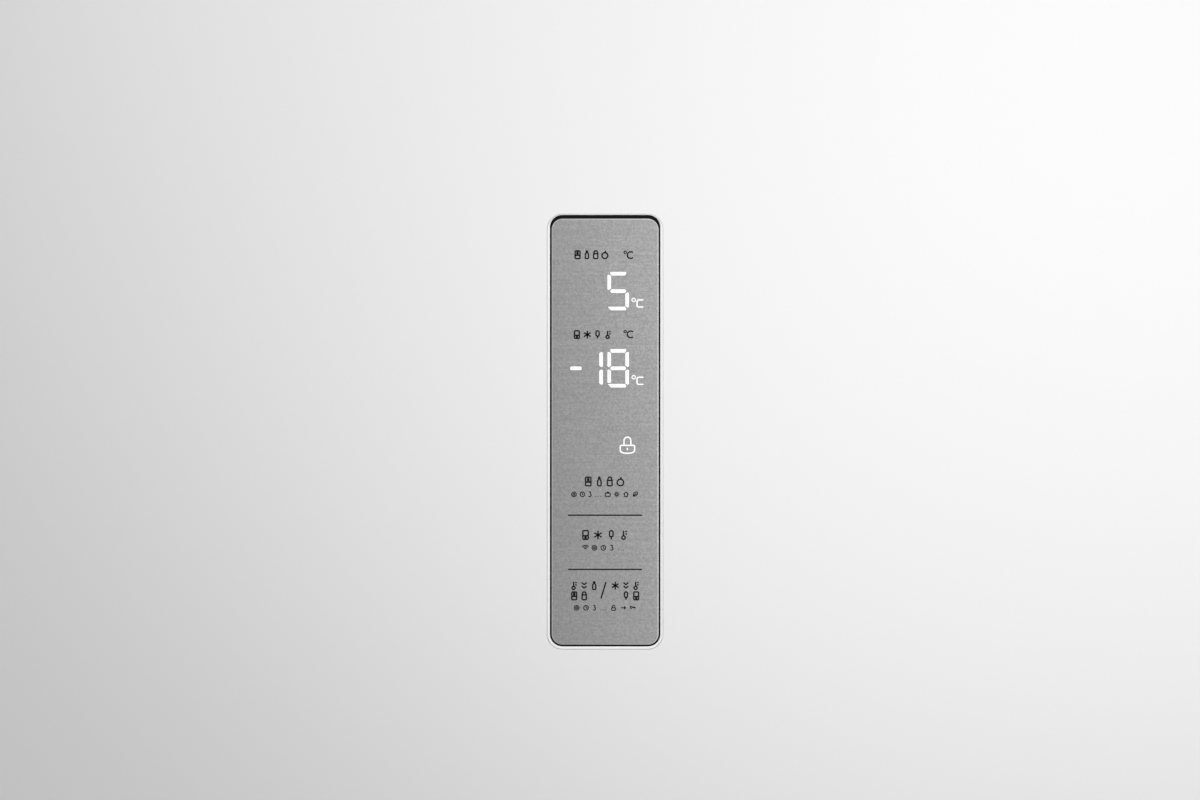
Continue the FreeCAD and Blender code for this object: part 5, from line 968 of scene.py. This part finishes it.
dressed = add(set_tree, "GeometryNodeSetMaterial", Geometry=single.outputs[0], Material=given["Finish"])
set_tree.links.new(dressed.outputs[0], made["Geometry"])
print("tree:", set_tree.name, "with inputs", list(set_keys))

# %% Points, patterns and the function that sets them


def point_mesh(name, points):
    """Bare points. Each point is its place, the way its pattern faces, and the way its pattern lies."""
    mesh = bpy.data.meshes.new(name)
    mesh.from_pydata([p[0] for p in points], [], [])
    for label, column in (("facing", 1), ("lying", 2)):
        values = mesh.attributes.new(label, "FLOAT_VECTOR", "POINT")
        for entry, point in zip(values.data, points):
            entry.vector = point[column]
    return mesh


def set_pattern(name, points, pattern, slot, body, turn=0.0):
    """Sets a pattern on points as one piece that rides on a body and takes its finish from a slot."""
    mesh = made_mesh(
        name, point_mesh(name, points), set_tree, set_keys, Pattern=pattern, Random_Turn=turn,
        Finish=finishes[slot],
    )
    piece = joined(name, [mesh])
    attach(piece, body)
    print(f"{name}: {len(points)} copies, {len(mesh.polygons)} faces")
    return piece


def lathe(rings, count):
    """A closed bottom and a wall of rings, each a radius and a height. Returns the mesh and its top ring."""
    mesh = bmesh.new()
    loops = []
    for radius, height in rings:
        loop = []
        for k in range(count):
            angle = 2 * math.pi * k / count
            loop.append(mesh.verts.new((radius * math.cos(angle), radius * math.sin(angle), height)))
        loops.append(loop)
    for low, high in zip(loops, loops[1:]):
        join_rows(mesh, low, high)
    mesh.faces.new(reversed(loops[0]))
    return mesh, loops[-1]


# %% [markdown]
# ## Cross-recess screws
# The hinges and the rear panel are held by pan-head screws. A pan head is round and its cross is pressed in,
# so the mesh is made the same way: rings for the shank and head, then a cross sunk into the flat.

# %% Screw pattern and screws
SCREW_SIDES = 20
TIP_SHARE = 0.45
# Rings of the head, as shares of its radius and height
HEAD_RINGS = ((1.0, 0.0), (1.0, 0.38), (0.93, 0.72), (0.70, 1.0))
CROSS_HALF, CROSS_REACH, CROSS_FOOT, CROSS_TAPER = 0.13, 0.50, 0.35, 0.85


def pan_screw(name, head, height, shank, length):
    """A pan-head screw on Z with its seat at zero."""
    rings = [(shank * TIP_SHARE, -length), (shank, -length + shank), (shank, 0)]
    rings += [(head * across, height * up) for across, up in HEAD_RINGS]
    mesh, top = lathe(rings, SCREW_SIDES)
    wide, reach, low = head * CROSS_HALF, head * CROSS_REACH, height * CROSS_FOOT
    cross = [
        (wide, wide), (wide, reach), (-wide, reach), (-wide, wide), (-reach, wide), (-reach, -wide),
        (-wide, -wide), (-wide, -reach), (wide, -reach), (wide, -wide), (reach, -wide), (reach, wide),
    ]
    rim = [mesh.verts.new((x, y, height)) for x, y in cross]
    foot = [mesh.verts.new((x * CROSS_TAPER, y * CROSS_TAPER, low)) for x, y in cross]
    edges = []
    for loop in (top, rim):
        for first, second in zip(loop, loop[1:] + loop[:1]):
            edges.append(mesh.edges.get((first, second)) or mesh.edges.new((first, second)))
    bmesh.ops.triangle_fill(mesh, edges=edges, use_beauty=True, normal=(0, 0, 1))
    join_rows(mesh, rim, foot)
    mesh.faces.new(foot)
    return mesh_object(name, mesh)


HINGE_SCREW = pan_screw("hinge_screw", head=4.6 * MM, height=2.8 * MM, shank=2.4 * MM, length=14.0 * MM)
UP, DOWN, FRONT, REAR = (0, 0, 1), (0, 0, -1), (0, -1, 0), (0, 1, 0)
TOP_SEATS = ((232.5, -231.0), (232.5, -199.0), (273.5, -199.0))
FRONT_SEATS = ((192.5, 691.0), (217.5, 691.0), (207.5, 48.0), (232.5, 48.0))
TOP_SEAT_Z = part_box("top_hinge")[1].z
FRONT_SEAT_Y = -256.0 * MM
points = [((x * MM, y * MM, TOP_SEAT_Z), UP, REAR) for x, y in TOP_SEATS]
points += [((x * MM, FRONT_SEAT_Y, z * MM), FRONT, UP) for x, z in FRONT_SEATS]
screws = set_pattern("hinge_cross_screws", points, HINGE_SCREW, "zinc_hardware", "cabinet", math.pi)
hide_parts("hinge_screws")

# %% Screws of the rear panel
PANEL_SCREW = pan_screw("rear_panel_screw", head=3.6 * MM, height=2.0 * MM, shank=1.7 * MM, length=6.0 * MM)
REAR_SHEET_Y = 303.0 * MM
REAR_EDGE = 10.0 * MM
SIDE_SCREWS = 8
HEAD_SCREW_X = 100.0 * MM
rear_low, rear_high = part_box("rear_panel")
points = []
for k in range(SIDE_SCREWS):
    z = rear_low.z + REAR_EDGE + (rear_high.z - rear_low.z - 2 * REAR_EDGE) * k / (SIDE_SCREWS - 1)
    for x in (rear_low.x + REAR_EDGE, rear_high.x - REAR_EDGE):
        points.append(((x, REAR_SHEET_Y, z), REAR, UP))
points += [((x, REAR_SHEET_Y, rear_high.z - REAR_EDGE), REAR, UP) for x in (-HEAD_SCREW_X, HEAD_SCREW_X)]
set_pattern("rear_panel_screws", points, PANEL_SCREW, "zinc_hardware", "cabinet", math.pi)

# %% [markdown]
# ## Ribs and flutes
# Moulders put low ribs on the floor of a door bin, so that bottles don't stick to it, flutes on the front of
# a freezer drawer to stiffen it, and prisms under a lamp's lens to spread its light. Each is one short bar
# with sloped ends, so twenty faces are enough, and the tree sets it in rows.

# %% Rib pattern
RIB_SINK = 0.3 * MM
SHOULDER, SHOULDER_HIGH, CROWN = 0.42, 0.6, 0.2
END_HIGH = 0.25


def rib(name, length, width, height):
    """A low bar along Y on a face at zero. Its foot goes a little below the face, and its ends slope."""
    mesh = bmesh.new()
    shoulder = height * SHOULDER_HIGH
    section = (
        (-0.5, -RIB_SINK), (-SHOULDER, shoulder), (-CROWN, height), (CROWN, height), (SHOULDER, shoulder),
        (0.5, -RIB_SINK),
    )
    inset = 0.5 - width / length
    rows = []
    for y, share in ((-0.5, END_HIGH), (-inset, 1.0), (inset, 1.0), (0.5, END_HIGH)):
        rows.append([mesh.verts.new((x * width, y * length, z * share if z > 0 else z)) for x, z in section])
    for near, far in zip(rows, rows[1:]):
        join_rows(mesh, near, far)
    mesh.faces.new(rows[0])
    mesh.faces.new(rows[-1])
    return mesh_object(name, mesh)


def steps(reach, pitch):
    """Places at an even pitch on both sides of zero, as far as a reach."""
    count = int(reach / pitch)
    return [k * pitch for k in range(-count, count + 1)]


# %% Ribs on the floors of the door bins
BIN_FLOOR = 2.5 * MM
BIN_LOWS = (768.5, 1013.5, 1258.5, 1503.5)
BIN_MIDDLE_Y = -222.0 * MM
BIN_SIDE_ROOM = 16.0 * MM
BIN_RIB_PITCH = 13.0 * MM
BIN_RIB = rib("bin_rib", length=58.0 * MM, width=2.2 * MM, height=1.2 * MM)
bin_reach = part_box("door_bins")[1].x - BIN_SIDE_ROOM
points = []
for low in BIN_LOWS:
    for x in steps(bin_reach, BIN_RIB_PITCH):
        points.append(((x, BIN_MIDDLE_Y, low * MM + BIN_FLOOR), UP, REAR))
set_pattern("bin_floor_ribs", points, BIN_RIB, "clear_moulding", "fridge_door")

# %% Flutes on the freezer drawers
DRAWER_WALL_Y = -186.0 * MM
FLUTE_PITCH = 18.0 * MM
FLUTE_REACH = 180.0 * MM
FLUTE_SHARE, FLUTE_MIDDLE = 0.5, 0.44
for level in ("top", "middle", "bottom"):
    low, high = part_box(f"freezer_drawer_{level}")
    tall = high.z - low.z
    flute = rib(f"flute_{level}", length=tall * FLUTE_SHARE, width=3.0 * MM, height=1.0 * MM)
    points = []
    for x in steps(FLUTE_REACH, FLUTE_PITCH):
        points.append(((x, DRAWER_WALL_Y, low.z + tall * FLUTE_MIDDLE), FRONT, UP))
    set_pattern(f"drawer_{level}_flutes", points, flute, "frosted_moulding", f"drawer_{level}")

# %% Prisms under the lamp's lens
lamp_low, lamp_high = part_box("ceiling_lamp")
PRISM_PITCH = 5.0 * MM
PRISM_MARGIN = 8.0 * MM
PRISM = rib("lens_prism", length=42.0 * MM, width=4.6 * MM, height=0.8 * MM)
lamp_middle = (lamp_low.y + lamp_high.y) / 2
points = []
for x in steps(lamp_high.x - PRISM_MARGIN, PRISM_PITCH):
    points.append(((x, lamp_middle, lamp_low.z), DOWN, REAR))
set_pattern("lens_prisms", points, PRISM, "lamp_lens", "cabinet")

# %% Grip ribs around the screw feet
FOOT_RIBS = 30
FOOT_RIB_HEIGHT = 2.6 * MM
FOOT_RIB = rib("foot_rib", length=3.4 * MM, width=1.4 * MM, height=0.5 * MM)
for side in ("left", "right"):
    low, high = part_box(f"foot_{side}")
    middle = (low + high) / 2
    radius = (high.x - low.x) / 2
    points = []
    for k in range(FOOT_RIBS):
        angle = 2 * math.pi * k / FOOT_RIBS
        way = Vector((math.cos(angle), math.sin(angle), 0))
        place = (middle.x + radius * way.x, middle.y + radius * way.y, low.z + FOOT_RIB_HEIGHT)
        points.append((place, way, UP))
    set_pattern(f"foot_{side}_ribs", points, FOOT_RIB, "black_moulding", f"foot_{side}")

# %% Put the pattern shapes away
for thing in list(bpy.data.objects):
    if thing.type == "MESH" and thing.parent is None:
        bpy.data.objects.remove(thing)

# %% [markdown]
# ## Floor
# A plain pale floor carries the refrigerator and keeps its shadow. Faint mottling keeps it from being one
# flat colour. Far from the object it fades to plain white for what the camera sees, so that no horizon cuts
# through a view.

# %% Floor
FLOOR_HALF, FLOOR_CELLS = 30.0, 8
FADE_START, FADE_END = 0.7, 3.6

floor_mesh = bmesh.new()
bmesh.ops.create_grid(floor_mesh, x_segments=FLOOR_CELLS, y_segments=FLOOR_CELLS, size=FLOOR_HALF)
floor_data = mesh_data("floor", floor_mesh)
pale_floor = finish("pale_floor", colour=grey(0.82), grain=0.25, shade=0.01, rough=(0.62, 0.72))
tree, skin = shader(pale_floor)
away = add(tree, "ShaderNodeVectorMath", {"operation": "LENGTH"}, _0=position(tree)).outputs["Value"]
far = add(
    tree, "ShaderNodeMapRange", {"interpolation_type": "SMOOTHSTEP"}, Value=away, From_Min=FADE_START,
    From_Max=FADE_END,
)
share = sums(tree, "MULTIPLY", seen_directly(tree), far.outputs["Result"])
white = add(tree, "ShaderNodeEmission", Color=grey(1.0), Strength=1.0)
faded = add(tree, "ShaderNodeMixShader", _0=share, _1=skin.outputs[0], _2=white.outputs[0])
tree.links.new(faded.outputs[0], tree.nodes["Material Output"].inputs["Surface"])
floor_data.materials.append(pale_floor)
floor = bpy.data.objects.new("floor", floor_data)
scene.collection.objects.link(floor)
print("floor of", 2 * FLOOR_HALF, "m")

# %% [markdown]
# ## End of the scene

# %% End
print("scene built")
